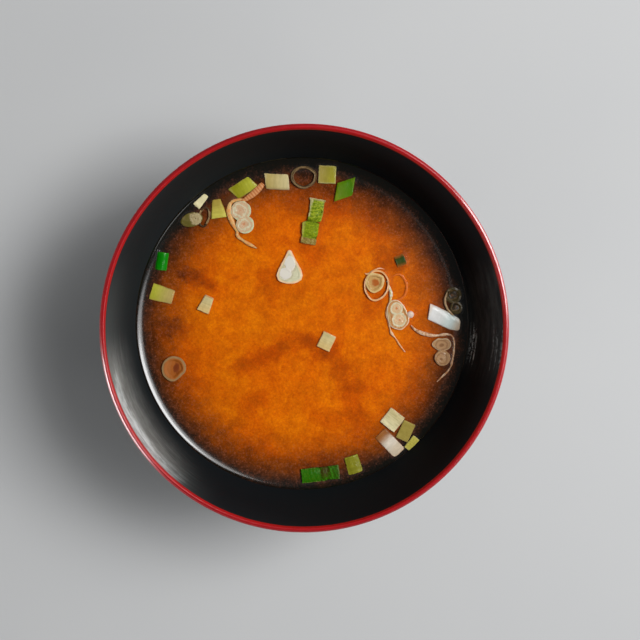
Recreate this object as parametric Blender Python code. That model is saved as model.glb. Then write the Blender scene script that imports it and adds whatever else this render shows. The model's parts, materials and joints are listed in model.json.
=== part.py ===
"""Miso soup in a black lacquered bowl, with sliced spring onion floating on it.

The bowl is one turned piece: a foot ring, a deep rounded body and a thin lip. The soup fills it to a little
over half of its depth and climbs the wall in a small meniscus. Every piece of spring onion is a solid of its
own that floats in a pocket of the soup, with a hair of room round it.

Units are metres, +Z is up, and the origin is at the centre of the bowl's foot, on the table.
"""

import math

import bmesh
import bpy
from mathutils import Matrix, Vector

MM = 0.001

# The bowl.
RIM_RADIUS = 57.5 * MM
BOWL_HEIGHT = 66.0 * MM
LIP_WIDTH = 1.4 * MM
BODY_BASE = 7.5 * MM  # where the outside curve would meet the axis
OUTER_POWER = 4.7  # how square the outside is: 2 is a parabola
FLOOR_HEIGHT = 11.0 * MM
INNER_POWER = 4.0
FOOT_RADIUS = 28.8 * MM
FOOT_NECK = 28.0 * MM
FOOT_INNER = 25.4 * MM
FOOT_EDGE = 0.6 * MM  # softening of the foot's two lower edges
RECESS_HEIGHT = 5.2 * MM
RECESS_DRAFT = 0.8 * MM  # how much narrower the recess is at its top
RECESS_CORNER = 1.0 * MM
TURNED_SIDES = 52
WALL_STEPS = 10
LIP_STEPS = 4

# The soup.
SOUP_LEVEL = 42.8 * MM
MENISCUS_RISE = 1.0 * MM
MENISCUS_REACH = 1.3 * MM
MENISCUS_STEPS = (0.6 * MM, 1.4 * MM, 3.0 * MM)  # distances from the wall; the last is level
WALL_CLEARANCE = 1.5 * MM  # the soup's side has no point nearer than this below its edge
GAP = 0.3 * MM  # room between two pieces that touch

# The spring onion.
RING_SIDES = 14
SLICE_SIDES = 22
BORE_SIDES = 12
CORNER_ROUNDING = 0.08  # share of a chip's half side that its corners give up
CORNER_POWER = 6  # how late along a side the rounding starts
CREASE_PLACE = -0.1  # where a folded leaf is creased, as a share of its length
CREASE_REACH = 0.1
STRAND_STEPS = 2
SLICE_CROWN = 0.2 * MM
SLICE_EDGE = 0.6 * MM
TEARDROP_FULLNESS = 1.3  # brings the widest place of the curve to the named width

INNER_RIM = RIM_RADIUS - LIP_WIDTH
DEPTH = BOWL_HEIGHT - FLOOR_HEIGHT

LACQUER = (0.012, 0.013, 0.015)
BROTH = (0.50, 0.16, 0.012)
WHITE = (0.70, 0.68, 0.58)
CREAM = (0.55, 0.48, 0.22)
YELLOW_GREEN = (0.33, 0.35, 0.04)
GREEN = (0.06, 0.19, 0.01)
DARK_GREEN = (0.02, 0.09, 0.01)
TAN = (0.36, 0.20, 0.07)
OLIVE = (0.22, 0.16, 0.04)


def finish(obj, colour, roughness, metallic=0.0):
    """Gives the object a material of its own."""
    material = bpy.data.materials.new(obj.name)
    material.use_nodes = True
    shader = material.node_tree.nodes["Principled BSDF"]
    shader.inputs["Base Color"].default_value = (*colour, 1.0)
    shader.inputs["Roughness"].default_value = roughness
    shader.inputs["Metallic"].default_value = metallic
    material.diffuse_color = (*colour, 1.0)
    obj.data.materials.append(material)


def to_object(bm, name, smooth_angle=40):
    """Turns the bmesh into an object with its faces pointing out."""
    bmesh.ops.recalc_face_normals(bm, faces=bm.faces[:])
    mesh = bpy.data.meshes.new(name)
    bm.to_mesh(mesh)
    bm.free()
    mesh.shade_smooth()
    mesh.set_sharp_from_angle(angle=math.radians(smooth_angle))
    obj = bpy.data.objects.new(name, mesh)
    bpy.context.scene.collection.objects.link(obj)
    return obj


def as_cutter(obj):
    """Keeps a helper out of the finished object."""
    obj.hide_render = True
    obj.display_type = "WIRE"
    return obj


def cut(obj, cutter):
    """Takes the cutter's shape out of the object."""
    modifier = obj.modifiers.new("cut_" + cutter.name, "BOOLEAN")
    modifier.operation = "DIFFERENCE"
    modifier.solver = "EXACT"
    modifier.object = cutter


# --- Turned shapes ---------------------------------------------------------------------------------------


def turned(profile):
    """Spins a profile of (radius, height) points, from axis to axis, into a closed solid."""
    bm = bmesh.new()
    points = [bm.verts.new((radius, 0, height)) for radius, height in profile]
    edges = [bm.edges.new(pair) for pair in zip(points, points[1:])]
    bmesh.ops.spin(
        bm,
        geom=points + edges,
        cent=(0, 0, 0),
        axis=(0, 0, 1),
        angle=2 * math.pi,
        steps=TURNED_SIDES,
        use_merge=True,
    )
    bmesh.ops.remove_doubles(bm, verts=bm.verts[:], dist=0.00001)
    return bm


def inner_height(radius):
    """Height of the bowl's inside at a radius: nearly flat on the floor and steep at the rim."""
    return FLOOR_HEIGHT + DEPTH * (radius / INNER_RIM) ** INNER_POWER


def inner_radius(height):
    return INNER_RIM * ((height - FLOOR_HEIGHT) / DEPTH) ** (1 / INNER_POWER)


def outer_height(radius):
    return BODY_BASE + (BOWL_HEIGHT - BODY_BASE) * (radius / RIM_RADIUS) ** OUTER_POWER


def wall_radii(count, edge, start_degrees=0.0):
    """Radii that lie closer together towards the edge, where the wall turns up."""
    sweep = math.radians(90 - start_degrees)
    start = math.radians(start_degrees)
    return [edge * math.sin(start + sweep * step / count) for step in range(count + 1)]


def bowl_profile():
    inside = [(radius, inner_height(radius)) for radius in wall_radii(WALL_STEPS, INNER_RIM)[:-1]]

    lip_radius = LIP_WIDTH / 2
    lip_centre = (RIM_RADIUS - lip_radius, BOWL_HEIGHT - lip_radius)
    lip = []
    for step in range(LIP_STEPS + 1):
        turn = math.pi * (1 - step / LIP_STEPS)
        across = lip_centre[0] + lip_radius * math.cos(turn)
        lip.append((across, lip_centre[1] + lip_radius * math.sin(turn)))

    neck_degrees = math.degrees(math.asin(FOOT_NECK / RIM_RADIUS))
    outside = [
        (radius, outer_height(radius))
        for radius in reversed(wall_radii(WALL_STEPS - 1, RIM_RADIUS, neck_degrees)[:-1])
    ]

    foot = [
        (FOOT_NECK, outer_height(FOOT_NECK) / 2),
        (FOOT_RADIUS, FOOT_EDGE),
        (FOOT_RADIUS - FOOT_EDGE, 0.0),
        (FOOT_INNER + FOOT_EDGE, 0.0),
        (FOOT_INNER, FOOT_EDGE),
        (FOOT_INNER - RECESS_DRAFT, RECESS_HEIGHT - RECESS_CORNER / 2),
        (FOOT_INNER - RECESS_DRAFT - RECESS_CORNER, RECESS_HEIGHT),
        (0.0, RECESS_HEIGHT),
    ]
    return inside + lip + outside + foot


def make_bowl():
    bowl = to_object(turned(bowl_profile()), "bowl")
    finish(bowl, LACQUER, 0.08)
    return bowl


def soup_profile():
    """From the middle of the floor up the wall, over the meniscus and in to the still surface."""
    contact_height = SOUP_LEVEL + MENISCUS_RISE
    contact = inner_radius(contact_height)
    below = [radius for radius in wall_radii(WALL_STEPS, INNER_RIM) if radius < contact - WALL_CLEARANCE]
    side = []
    for radius in below + [contact]:
        rise = DEPTH * INNER_POWER / INNER_RIM * (radius / INNER_RIM) ** (INNER_POWER - 1)
        length = math.hypot(rise, 1.0)
        side.append((radius - GAP * rise / length, inner_height(radius) + GAP / length))
    side[0] = (0.0, FLOOR_HEIGHT + GAP)

    edge_radius = side[-1][0]
    meniscus = []
    for distance in MENISCUS_STEPS:
        height = SOUP_LEVEL + MENISCUS_RISE * math.exp(-distance / MENISCUS_REACH)
        meniscus.append((edge_radius - distance, height))
    meniscus[-1] = (meniscus[-1][0], SOUP_LEVEL)
    return side + meniscus


def make_soup(pockets):
    bm = turned(soup_profile())
    open_edge = [edge for edge in bm.edges if edge.is_boundary]
    bmesh.ops.holes_fill(bm, edges=open_edge, sides=0)
    soup = to_object(bm, "soup")
    for pocket in pockets:
        cut(soup, pocket)
    finish(soup, BROTH, 0.1)
    return soup


# --- Shapes of spring onion ------------------------------------------------------------------------------
# Each maker takes grow, the room that a pocket adds to every side of the piece.


def place(bm, spot, turn, bottom):
    """Turns a piece made round the axis and sets it down at its spot on the soup."""
    move = Matrix.Translation((spot[0] * MM, spot[1] * MM, bottom))
    bmesh.ops.transform(bm, matrix=move @ Matrix.Rotation(math.radians(turn), 4, "Z"), verts=bm.verts[:])


def chip(
    name, spot, length, width, turn, grow=0.0,
    thick=1.6, arch=0.5, lean=0, taper=0.0, crease=0.0, proud=0.55, columns=4,
):  # fmt: skip
    """A square of leaf: a thin plate, arched across its width, with soft corners.

    lean slants its ends, taper narrows its far end, and crease pinches it near the middle.
    """
    bm = bmesh.new()
    bmesh.ops.create_cube(bm, size=1.0)
    for axis, cuts in ((0, columns - 1), (1, 2)):
        along = [
            edge
            for edge in bm.edges
            if abs(edge.verts[0].co[axis] - edge.verts[1].co[axis]) > 0.9
        ]
        bmesh.ops.subdivide_edges(bm, edges=along, cuts=cuts, use_grid_fill=True)
    for vert in bm.verts:
        u, v, w = vert.co
        pinch = crease * math.exp(-(((u - CREASE_PLACE) / CREASE_REACH) ** 2))
        half = width * MM * (1 - taper * u) * (1 - pinch) + 2 * grow
        across = v * half * (1 - CORNER_ROUNDING * (2 * u) ** CORNER_POWER)
        reach = u * (length * MM + 2 * grow) * (1 - CORNER_ROUNDING * (2 * v) ** CORNER_POWER)
        reach += across * math.tan(math.radians(lean))
        height = w * (thick * MM + 2 * grow) - arch * MM * (2 * across / (width * MM)) ** 2
        vert.co = (reach, across, height)
    place(bm, spot, turn, SOUP_LEVEL + (proud - thick / 2) * MM)
    return to_object(bm, name)


def loop_of(bm, outline, height):
    points = [bm.verts.new((x, y, height)) for x, y in outline]
    return [bm.edges.new((a, b)) for a, b in zip(points, points[1:] + points[:1])]


def oval(radius_x, radius_y):
    turns = [2 * math.pi * step / RING_SIDES for step in range(RING_SIDES)]
    return [(radius_x * math.cos(angle), radius_y * math.sin(angle)) for angle in turns]


def extrude_up(bm, height):
    """Gives the flat faces of the bmesh a height."""
    made = bmesh.ops.extrude_face_region(bm, geom=bm.faces[:])
    raised = [part for part in made["geom"] if isinstance(part, bmesh.types.BMVert)]
    bmesh.ops.translate(bm, verts=raised, vec=(0, 0, height))
    return raised


def ring(name, spot, radius_x, radius_y, wall, turn, grow=0.0, height=2.6, proud=0.6):
    """A slice of a hollow leaf."""
    bm = bmesh.new()
    outer = oval(radius_x * MM + grow, radius_y * MM + grow)
    inner = oval((radius_x - wall) * MM - grow, (radius_y - wall) * MM - grow)
    bmesh.ops.bridge_loops(bm, edges=loop_of(bm, outer, 0) + loop_of(bm, inner, 0))
    extrude_up(bm, height * MM + 2 * grow)
    place(bm, spot, turn, SOUP_LEVEL + (proud - height) * MM - grow)
    return to_object(bm, name)


def filled(name, outline, spot, turn, grow, height, proud):
    """A slice of solid stem, with a low crown inside its edge."""
    bm = bmesh.new()
    bmesh.ops.contextual_create(bm, geom=loop_of(bm, outline, 0))
    raised = extrude_up(bm, height * MM + 2 * grow - SLICE_CROWN)
    top = [face for face in bm.faces if all(vert in raised for vert in face.verts)]
    bmesh.ops.inset_region(bm, faces=top, thickness=SLICE_EDGE, depth=SLICE_CROWN, use_even_offset=False)
    place(bm, spot, turn, SOUP_LEVEL + (proud - height) * MM - grow)
    return to_object(bm, name)


def teardrop(name, spot, length, width, turn, grow=0.0, height=2.8, proud=0.7):
    """A slice cut where the stem begins to split: round at one end and pointed at the other."""
    outline = []
    for step in range(SLICE_SIDES):
        angle = 2 * math.pi * step / SLICE_SIDES
        along = (length * MM / 2 + grow) * math.cos(angle)
        fullness = TEARDROP_FULLNESS * math.sin(angle) * math.sin(angle / 2)
        outline.append((along, (width * MM / 2 + grow) * fullness))
    return filled(name, outline, spot, turn, grow, height, proud)


def oval_slice(name, spot, length, width, turn, grow=0.0, height=2.8, proud=0.7):
    outline = oval(length * MM / 2 + grow, width * MM / 2 + grow)
    return filled(name, outline, spot, turn, grow, height, proud)


def twin_slice(
    name, spot, first, second, spacing, turn, grow=0.0, wall=0.0, height=2.8, proud=0.7
):
    """A slice with two hearts side by side: two discs run together. With a wall, both are hollow."""
    hearts = ((-spacing / 2 * MM, first * MM), (spacing / 2 * MM, second * MM))
    outline = []
    for step in range(SLICE_SIDES):
        angle = 2 * math.pi * step / SLICE_SIDES
        reach = max(
            centre * math.cos(angle)
            + math.sqrt(max((radius + grow) ** 2 - (centre * math.sin(angle)) ** 2, 0))
            for centre, radius in hearts
        )
        outline.append((reach * math.cos(angle), reach * math.sin(angle)))
    body = filled(name, outline, spot, turn, grow, height, proud)
    if wall:
        for number, (centre, radius) in enumerate(hearts):
            bore = bmesh.new()
            hole = radius - wall * MM - grow
            bmesh.ops.create_cone(
                bore, cap_ends=True, segments=BORE_SIDES, radius1=hole, radius2=hole, depth=3 * height * MM,
            )  # fmt: skip
            bmesh.ops.translate(bore, verts=bore.verts[:], vec=(centre, 0, 0))
            place(bore, spot, turn, SOUP_LEVEL)
            cut(body, as_cutter(to_object(bore, f"{name}_bore_{number + 1}")))
    return body


def smooth_path(knots, steps):
    """Points on a smooth curve through the knots."""
    knots = [Vector(knot) for knot in knots]
    padded = [2 * knots[0] - knots[1], *knots, 2 * knots[-1] - knots[-2]]
    path = []
    for a, b, c, d in zip(padded, padded[1:], padded[2:], padded[3:]):
        for step in range(steps):
            t = step / steps
            path.append(
                0.5
                * (2 * b + (c - a) * t + (2 * a - 5 * b + 4 * c - d) * t**2 + (3 * b - a - 3 * c + d) * t**3)
            )
    return path + [knots[-1]]


def strand(name, knots, width, height, grow=0.0, proud=0.5):
    """A long shred of onion skin lying in the surface."""
    path = smooth_path(knots, STRAND_STEPS)
    half_width = width / 2 * MM + grow
    low = SOUP_LEVEL + (proud - height) * MM - grow
    high = SOUP_LEVEL + proud * MM + grow
    bm = bmesh.new()
    sections = []
    for number, point in enumerate(path):
        before = path[max(number - 1, 0)]
        after = path[min(number + 1, len(path) - 1)]
        forward = (after - before).normalized()
        side = Vector((-forward.y, forward.x)) * half_width
        centre = point * MM
        if number == 0:
            centre -= forward * grow
        if number == len(path) - 1:
            centre += forward * grow
        corners = ((centre + side, low), (centre - side, low), (centre - side, high), (centre + side, high))
        sections.append([bm.verts.new((flat.x, flat.y, z)) for flat, z in corners])
    for near, far in zip(sections, sections[1:]):
        for side in range(4):
            bm.faces.new((near[side], near[side - 1], far[side - 1], far[side]))
    bm.faces.new(sections[0])
    bm.faces.new(reversed(sections[-1]))
    return to_object(bm, name)


# --- The pieces afloat, by name: shape, colour, then the spot (x, y), sizes in mm and turn in degrees ------

GARNISH = {
    # Squares of leaf along the far side.
    "chip_slim": (chip, CREAM, ((-29.9, 36.5), 4.4, 2.1, 48), {"arch": 0.2, "taper": 0.38}),
    "chip_pale": (chip, YELLOW_GREEN, ((-25.0, 34.2), 5.2, 3.5, 98), {"taper": 0.6}),
    "chip_olive": (chip, YELLOW_GREEN, ((-17.5, 40.4), 6.9, 4.0, 33), {"lean": -16}),
    "chip_cream_far": (chip, CREAM, ((-7.6, 42.2), 7.0, 4.8, -3), {"lean": -8}),
    "chip_yellow_far": (chip, YELLOW_GREEN, ((7.2, 44.3), 5.0, 5.1, -3), {"arch": 0.3}),
    "chip_green_far": (chip, GREEN, ((12.4, 40.0), 5.7, 4.9, 19), {"lean": 29, "arch": 0.3}),
    # Down the left side.
    "chip_green_left": (chip, GREEN, ((-41.5, 18.8), 5.0, 3.2, 82), {"arch": 0.6, "proud": 1.0}),
    "chip_yellow_left": (chip, YELLOW_GREEN, ((-41.5, 9.1), 6.8, 5.0, -17), {"taper": 0.2}),
    "chip_cream_left": (chip, CREAM, ((-28.7, 6.4), 4.5, 3.4, 66), {"taper": 0.33}),
    # Near the middle.
    "chip_cream_middle": (chip, CREAM, ((7.0, -5.1), 5.0, 4.1, 64), {}),
    "leaf_fold": (
        chip,
        YELLOW_GREEN,
        ((3.1, 30.5), 13.6, 4.5, 80),
        {"columns": 8, "crease": 0.15, "arch": 0.6, "proud": 0.9},
    ),
    # Down the right side.
    "chip_white_right": (chip, WHITE, ((42.1, 1.7), 10.2, 4.7, -25), {"lean": -16}),
    "chip_cream_right": (chip, CREAM, ((26.6, -28.6), 5.4, 5.2, 52), {}),
    "chip_olive_right": (chip, CREAM, ((30.8, -31.7), 5.1, 3.5, 65), {"arch": 0.3}),
    "chip_white_near": (chip, WHITE, ((25.8, -35.4), 8.0, 4.2, -46), {"arch": 0.3}),
    "chip_small_near": (
        chip,
        YELLOW_GREEN,
        ((32.2, -35.0), 3.7, 1.9, 52),
        {"arch": 0.2, "thick": 1.2, "proud": 1.1},
    ),
    # Along the near side.
    "chip_green_near": (chip, DARK_GREEN, ((5.2, -44.8), 11.6, 4.4, 4), {"proud": 1.0}),
    "chip_yellow_near": (chip, YELLOW_GREEN, ((15.1, -42.1), 5.2, 4.5, 107), {"taper": 0.12}),
    # Slices of hollow leaf.
    "ring_small_left": (ring, OLIVE, ((-29.2, 32.0), 2.9, 1.5, 0.5, 76), {}),
    "ring_far": (ring, TAN, ((0.3, 43.4), 3.8, 3.2, 0.8, 0), {}),
    "ring_left": (ring, TAN, ((-38.2, -13.0), 3.8, 3.6, 1.5, 60), {}),
    "ring_skin": (ring, TAN, ((21.9, 11.5), 4.5, 3.8, 0.5, 80), {}),
    "ring_heart": (ring, WHITE, ((21.7, 12.0), 2.6, 2.5, 1.1, 80), {}),
    "double_ring_olive": (twin_slice, OLIVE, ((45.2, 6.8), 2.3, 1.9, 3.7, -76), {"wall": 0.8}),
    # Slices of solid stem.
    "curl_left": (oval_slice, OLIVE, ((-33.1, 31.0), 4.2, 3.7, 10), {}),
    "double_ring_far": (twin_slice, WHITE, ((-17.7, 31.6), 2.8, 2.6, 4.2, -75), {}),
    "stem_slice": (teardrop, WHITE, ((-3.9, 17.1), 9.8, 7.7, 90), {}),
    "double_slice": (oval_slice, CREAM, ((28.3, 2.8), 9.6, 6.2, -74), {}),
    "double_ring_right": (twin_slice, TAN, ((41.4, -8.3), 2.1, 2.3, 4.3, -90), {}),
    "skin_strand": (
        strand,
        TAN,
        (
            (
                (32.3, -0.6), (34.8, -2.4), (38.5, -3.3), (41.8, -3.2), (44.4, -3.6),
                (45.3, -5.4), (45.1, -8.6), (44.6, -12.0), (42.8, -15.0), (40.0, -17.3),
            ),
            0.8,
            0.9,
        ),
        {},
    ),
}  # fmt: skip


def make_garnish():
    """Makes every piece and the pocket it floats in, and returns the pockets."""
    pockets = []
    for name, (maker, colour, sizes, options) in GARNISH.items():
        piece = maker(name, *sizes, **options)
        finish(piece, colour, 0.3)
        pockets.append(as_cutter(maker(name + "_pocket", *sizes, grow=GAP, **options)))
    return pockets


def main():
    for obj in list(bpy.data.objects):
        bpy.data.objects.remove(obj)
    make_bowl()
    make_soup(make_garnish())


main()
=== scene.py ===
# %% [markdown]
# # Miso soup in a lacquered bowl
#
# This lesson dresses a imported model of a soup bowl: a black bowl with a red lip, cloudy orange miso soup, and
# some thirty pieces of spring onion afloat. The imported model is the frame. It says how large everything is
# and where it lies. Most pieces made here stand for one of its solids. A few, too thin or too small for a
# solid, are new.

# %% Load the frame
import json
import math
import random

import bpy
from mathutils import Euler, Matrix, Vector

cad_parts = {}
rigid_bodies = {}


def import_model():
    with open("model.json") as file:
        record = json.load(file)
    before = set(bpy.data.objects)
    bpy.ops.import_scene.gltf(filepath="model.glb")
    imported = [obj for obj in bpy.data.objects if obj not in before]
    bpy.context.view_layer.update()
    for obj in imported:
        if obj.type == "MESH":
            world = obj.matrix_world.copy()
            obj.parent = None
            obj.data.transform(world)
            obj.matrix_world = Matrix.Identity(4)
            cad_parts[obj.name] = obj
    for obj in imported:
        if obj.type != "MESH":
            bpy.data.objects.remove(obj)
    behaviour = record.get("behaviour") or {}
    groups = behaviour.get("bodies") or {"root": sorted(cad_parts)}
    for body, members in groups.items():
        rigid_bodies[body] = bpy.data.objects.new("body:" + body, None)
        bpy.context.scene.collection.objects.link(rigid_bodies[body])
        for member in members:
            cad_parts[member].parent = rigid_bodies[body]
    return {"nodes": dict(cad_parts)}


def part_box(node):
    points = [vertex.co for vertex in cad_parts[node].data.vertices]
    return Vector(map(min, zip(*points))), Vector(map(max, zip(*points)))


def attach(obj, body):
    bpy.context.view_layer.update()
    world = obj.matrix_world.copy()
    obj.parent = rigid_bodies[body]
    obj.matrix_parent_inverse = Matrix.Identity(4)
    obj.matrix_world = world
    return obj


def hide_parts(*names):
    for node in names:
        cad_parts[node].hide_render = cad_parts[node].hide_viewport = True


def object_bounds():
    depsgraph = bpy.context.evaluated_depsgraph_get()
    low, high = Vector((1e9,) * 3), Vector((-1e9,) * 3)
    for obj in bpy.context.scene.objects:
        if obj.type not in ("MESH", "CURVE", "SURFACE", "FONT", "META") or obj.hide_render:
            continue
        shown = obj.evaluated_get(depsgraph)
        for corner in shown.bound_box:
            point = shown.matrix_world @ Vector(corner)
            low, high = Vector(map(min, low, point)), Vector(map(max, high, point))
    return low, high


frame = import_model()
cad_low, cad_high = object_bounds()
MM = 0.001
cad_size = [round(side / MM, 1) for side in cad_high - cad_low]
print("frame:", len(frame["nodes"]), "solids,", cad_size, "mm")

# %% [markdown]
# ## Measures
#
# The real bowl is turned, so two smooth curves say all about its section: one for the inside and one for the
# outside. Both are powers of the radius, which gives a nearly flat floor and a steep rim. Their limits come
# from the frame. The soup's box gives the height at which it meets the wall, and the still surface lies a
# meniscus lower.

# %% Measures of the bowl and the soup
RIM_RADIUS = cad_high.x
BOWL_HEIGHT = cad_high.z
LIP_WIDTH = 1.4 * MM
INNER_RIM = RIM_RADIUS - LIP_WIDTH
SOLID_GAP = 0.3 * MM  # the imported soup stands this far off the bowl
FLOOR_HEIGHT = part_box("soup")[0].z - SOLID_GAP
BODY_BASE = 7.5 * MM
INNER_POWER = 4.0
OUTER_POWER = 4.7
MENISCUS_RISE = 1.0 * MM
SOUP_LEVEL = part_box("soup")[1].z - MENISCUS_RISE - 0.1 * MM


def inner_height(radius):
    return FLOOR_HEIGHT + (BOWL_HEIGHT - FLOOR_HEIGHT) * (radius / INNER_RIM) ** INNER_POWER


def inner_radius(height):
    return INNER_RIM * ((height - FLOOR_HEIGHT) / (BOWL_HEIGHT - FLOOR_HEIGHT)) ** (1 / INNER_POWER)


def outer_height(radius):
    return BODY_BASE + (BOWL_HEIGHT - BODY_BASE) * (radius / RIM_RADIUS) ** OUTER_POWER


CONTACT_HEIGHT = SOUP_LEVEL + MENISCUS_RISE
CONTACT_RADIUS = inner_radius(CONTACT_HEIGHT)
print("soup level", round(SOUP_LEVEL / MM, 2), "mm, circle", round(2 * CONTACT_RADIUS / MM, 1), "mm")

# %% [markdown]
# ## Camera, floor and light
#
# A bowl of soup is looked at from above. The camera hangs almost over the bowl's axis, three centimetres
# towards the far left, and a long lens keeps the wall from spreading. The floor is plain and pale. A large
# soft light on the right, brighter in its middle, draws the bright line on the soup's left edge. Two low and
# wide lights draw the white line on the lip, left and right, and the wall hides them from the soup. A weak
# one at the near right adds a few glints. Nothing bright hangs over the bowl, so the soup keeps its depth of
# colour.

# %% Camera
CAMERA_HEIGHT = 386 * MM  # above the lip
camera_data = bpy.data.cameras.new("camera")
camera = bpy.data.objects.new("camera", camera_data)
bpy.context.scene.collection.objects.link(camera)
bpy.context.scene.camera = camera
camera_data.sensor_width = 36.0
camera_data.lens = 77.8
camera_data.clip_start = 0.01
camera.location = (-14.5 * MM, 28.4 * MM, BOWL_HEIGHT + CAMERA_HEIGHT)
aim = Vector((3.98 * MM, 2.85 * MM, BOWL_HEIGHT))
back = (camera.location - aim).normalized()
view_up = (Vector((0, 1, 0)) - back * back.y).normalized()
camera.matrix_world = Matrix.Translation(camera.location) @ Matrix(
    (view_up.cross(back), view_up, back)
).transposed().to_4x4()
bpy.context.scene.view_settings.view_transform = "Standard"
print("camera elevation", round(math.degrees(math.asin(back.z)), 1), "degrees")

# %% Floor and light


def let_go():
    """Leaves nothing selected, so that an operator acts only on what comes next."""
    if bpy.context.object and bpy.context.object.mode != "OBJECT":
        bpy.ops.object.mode_set(mode="OBJECT")
    bpy.ops.object.select_all(action="DESELECT")


def soft_light(name, direction, distance, width, power, height=None):
    """An area light that faces the soup from a direction. It is square unless a height is given."""
    light = bpy.data.lights.new(name, "AREA")
    light.shape = "RECTANGLE"
    light.size = width
    light.size_y = height or width
    light.energy = power
    lamp = bpy.data.objects.new(name, light)
    bpy.context.scene.collection.objects.link(lamp)
    towards = Vector(direction).normalized()
    lamp.location = Vector((0, 0, SOUP_LEVEL)) + towards * distance
    lamp.rotation_euler = towards.to_track_quat("Z", "Y").to_euler()


soft_light("key_right", (0.65, 0.22, 1.18), 0.75, 0.42, 2.7)
soft_light("key_core", (0.65, 0.22, 1.20), 0.75, 0.26, 2.9)
soft_light("lip_left", (-0.86, -0.46, 0.09), 0.80, 0.46, 3.2, height=0.12)
soft_light("lip_right", (0.94, 0.30, 0.09), 0.80, 0.50, 3.2, height=0.12)
soft_light("glint_near", (0.76, -0.64, 1.05), 0.80, 0.16, 0.25)

world = bpy.data.worlds.new("studio")
bpy.context.scene.world = world
world.use_nodes = True
world.node_tree.nodes["Background"].inputs["Color"].default_value = (0.93, 0.97, 1.0, 1)
world.node_tree.nodes["Background"].inputs["Strength"].default_value = 0.09

let_go()
bpy.ops.mesh.primitive_circle_add(vertices=96, radius=0.9, fill_type="NGON")
floor = bpy.context.object
floor.name = "floor"

# %% [markdown]
# ## Shader maths
#
# Procedural finishes are sums and products of patterns. Adding a Math node by hand for each would hide the
# idea, so this class wraps one output of a node. Plus, minus, times and divide on it add the nodes, and the
# method called node adds any other kind.

# %% A wire between nodes


class Wire:
    """An output in a material's node tree, on which arithmetic adds Math nodes."""

    def __init__(self, tree, socket=None):
        self.tree = tree
        self.socket = socket

    def node(self, kind, settings=None, inputs=None, output=0):
        """Adds a node. Settings go first; inputs are values or wires, by the socket's name or number."""
        made = self.tree.nodes.new(kind)
        for key, value in (settings or {}).items():
            if key == "stops":
                ramp = made.color_ramp
                while len(ramp.elements) < len(value):
                    ramp.elements.new(0.5)
                for element, (place, colour) in zip(ramp.elements, value):
                    element.position = place
                    element.color = colour
            else:
                setattr(made, key, value)
        for key, value in (inputs or {}).items():
            if isinstance(value, Wire):
                self.tree.links.new(value.socket, made.inputs[key])
            else:
                made.inputs[key].default_value = value
        return Wire(self.tree, made.outputs[output])

    def math(self, operation, first, second):
        return self.node("ShaderNodeMath", {"operation": operation}, {0: first, 1: second})

    def __add__(self, other):
        return self.math("ADD", self, other)

    def __sub__(self, other):
        return self.math("SUBTRACT", self, other)

    def __mul__(self, other):
        return self.math("MULTIPLY", self, other)

    def __truediv__(self, other):
        return self.math("DIVIDE", self, other)

    def __pow__(self, other):
        return self.math("POWER", self, other)

    def __rsub__(self, other):
        return self.math("SUBTRACT", other, self)

    def __rtruediv__(self, other):
        return self.math("DIVIDE", other, self)

    __radd__ = __add__
    __rmul__ = __mul__


def screen(red, green, blue):
    """A colour as a screen shows it, 0 to 255, in the linear values that a shader takes."""
    linear = [
        value / 12.92 if value <= 0.04045 else ((value + 0.055) / 1.055) ** 2.4
        for value in (red / 255, green / 255, blue / 255)
    ]
    return (*linear, 1.0)


# %% Patterns that the finishes share


def new_paint(name):
    """A material with a Principled shader, its first wire, and the place on the piece in millimetres."""
    material = bpy.data.materials.new(name)
    material.use_nodes = True
    wire = Wire(material.node_tree)
    place = wire.node("ShaderNodeTexCoord", output="Object")
    scaled = wire.node("ShaderNodeVectorMath", {"operation": "SCALE"}, {0: place, "Scale": 1 / MM})
    return material, wire, scaled


def parts_of(place):
    """The three numbers of a vector."""
    return [place.node("ShaderNodeSeparateXYZ", inputs={0: place}, output=axis) for axis in range(3)]


def noise(place, size, detail=2.0, roughness=0.5, distortion=0.0, seed=0.0):
    """Soft spots, size millimetres across, from 0 to 1 about 0.5."""
    return place.node(
        "ShaderNodeTexNoise",
        {"noise_dimensions": "4D"},
        {
            "Vector": place, "W": seed, "Scale": 1 / size, "Detail": detail,
            "Roughness": roughness, "Distortion": distortion,
        },
    )  # fmt: skip


def smooth_step(value, low, high):
    """0 below low and 1 above high."""
    return value.node(
        "ShaderNodeMapRange",
        {"interpolation_type": "SMOOTHSTEP"},
        {"Value": value, "From Min": low, "From Max": high},
    )


def ramp(value, *stops):
    return value.node("ShaderNodeValToRGB", {"stops": stops}, {0: value})


def mix(factor, first, second, blend="MIX"):
    """A colour mix; factor 0 gives the first."""
    wire = next(item for item in (factor, first, second) if isinstance(item, Wire))
    return wire.node(
        "ShaderNodeMix",
        {"data_type": "RGBA", "blend_type": blend},
        {0: factor, 6: first, 7: second},
        output=2,
    )


def bump(height, strength, distance):
    """A bump normal from a height; distance is in millimetres."""
    return height.node(
        "ShaderNodeBump", inputs={"Height": height, "Strength": strength, "Distance": distance * MM}
    )


def connect(material, **inputs):
    """Feeds the material's Principled shader, by socket name with _ for a space."""
    shader = material.node_tree.nodes["Principled BSDF"]
    for key, value in inputs.items():
        socket = shader.inputs[key.replace("_", " ")]
        if isinstance(value, Wire):
            material.node_tree.links.new(value.socket, socket)
        else:
            socket.default_value = value


def wear(obj, material):
    obj.data.materials.clear()
    obj.data.materials.append(material)


# %% The floor's finish
paper, wire, place = new_paint("floor_paper")
fibres = noise(place, 0.9, 4, 0.6)
tone = mix(noise(place, 40, 2) * 0.5, screen(192, 193, 194), screen(198, 198, 197))
connect(paper, Base_Color=tone, Roughness=0.85, Normal=bump(fibres, 0.05, 0.1))
wear(floor, paper)
print("floor:", paper.name)

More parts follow.
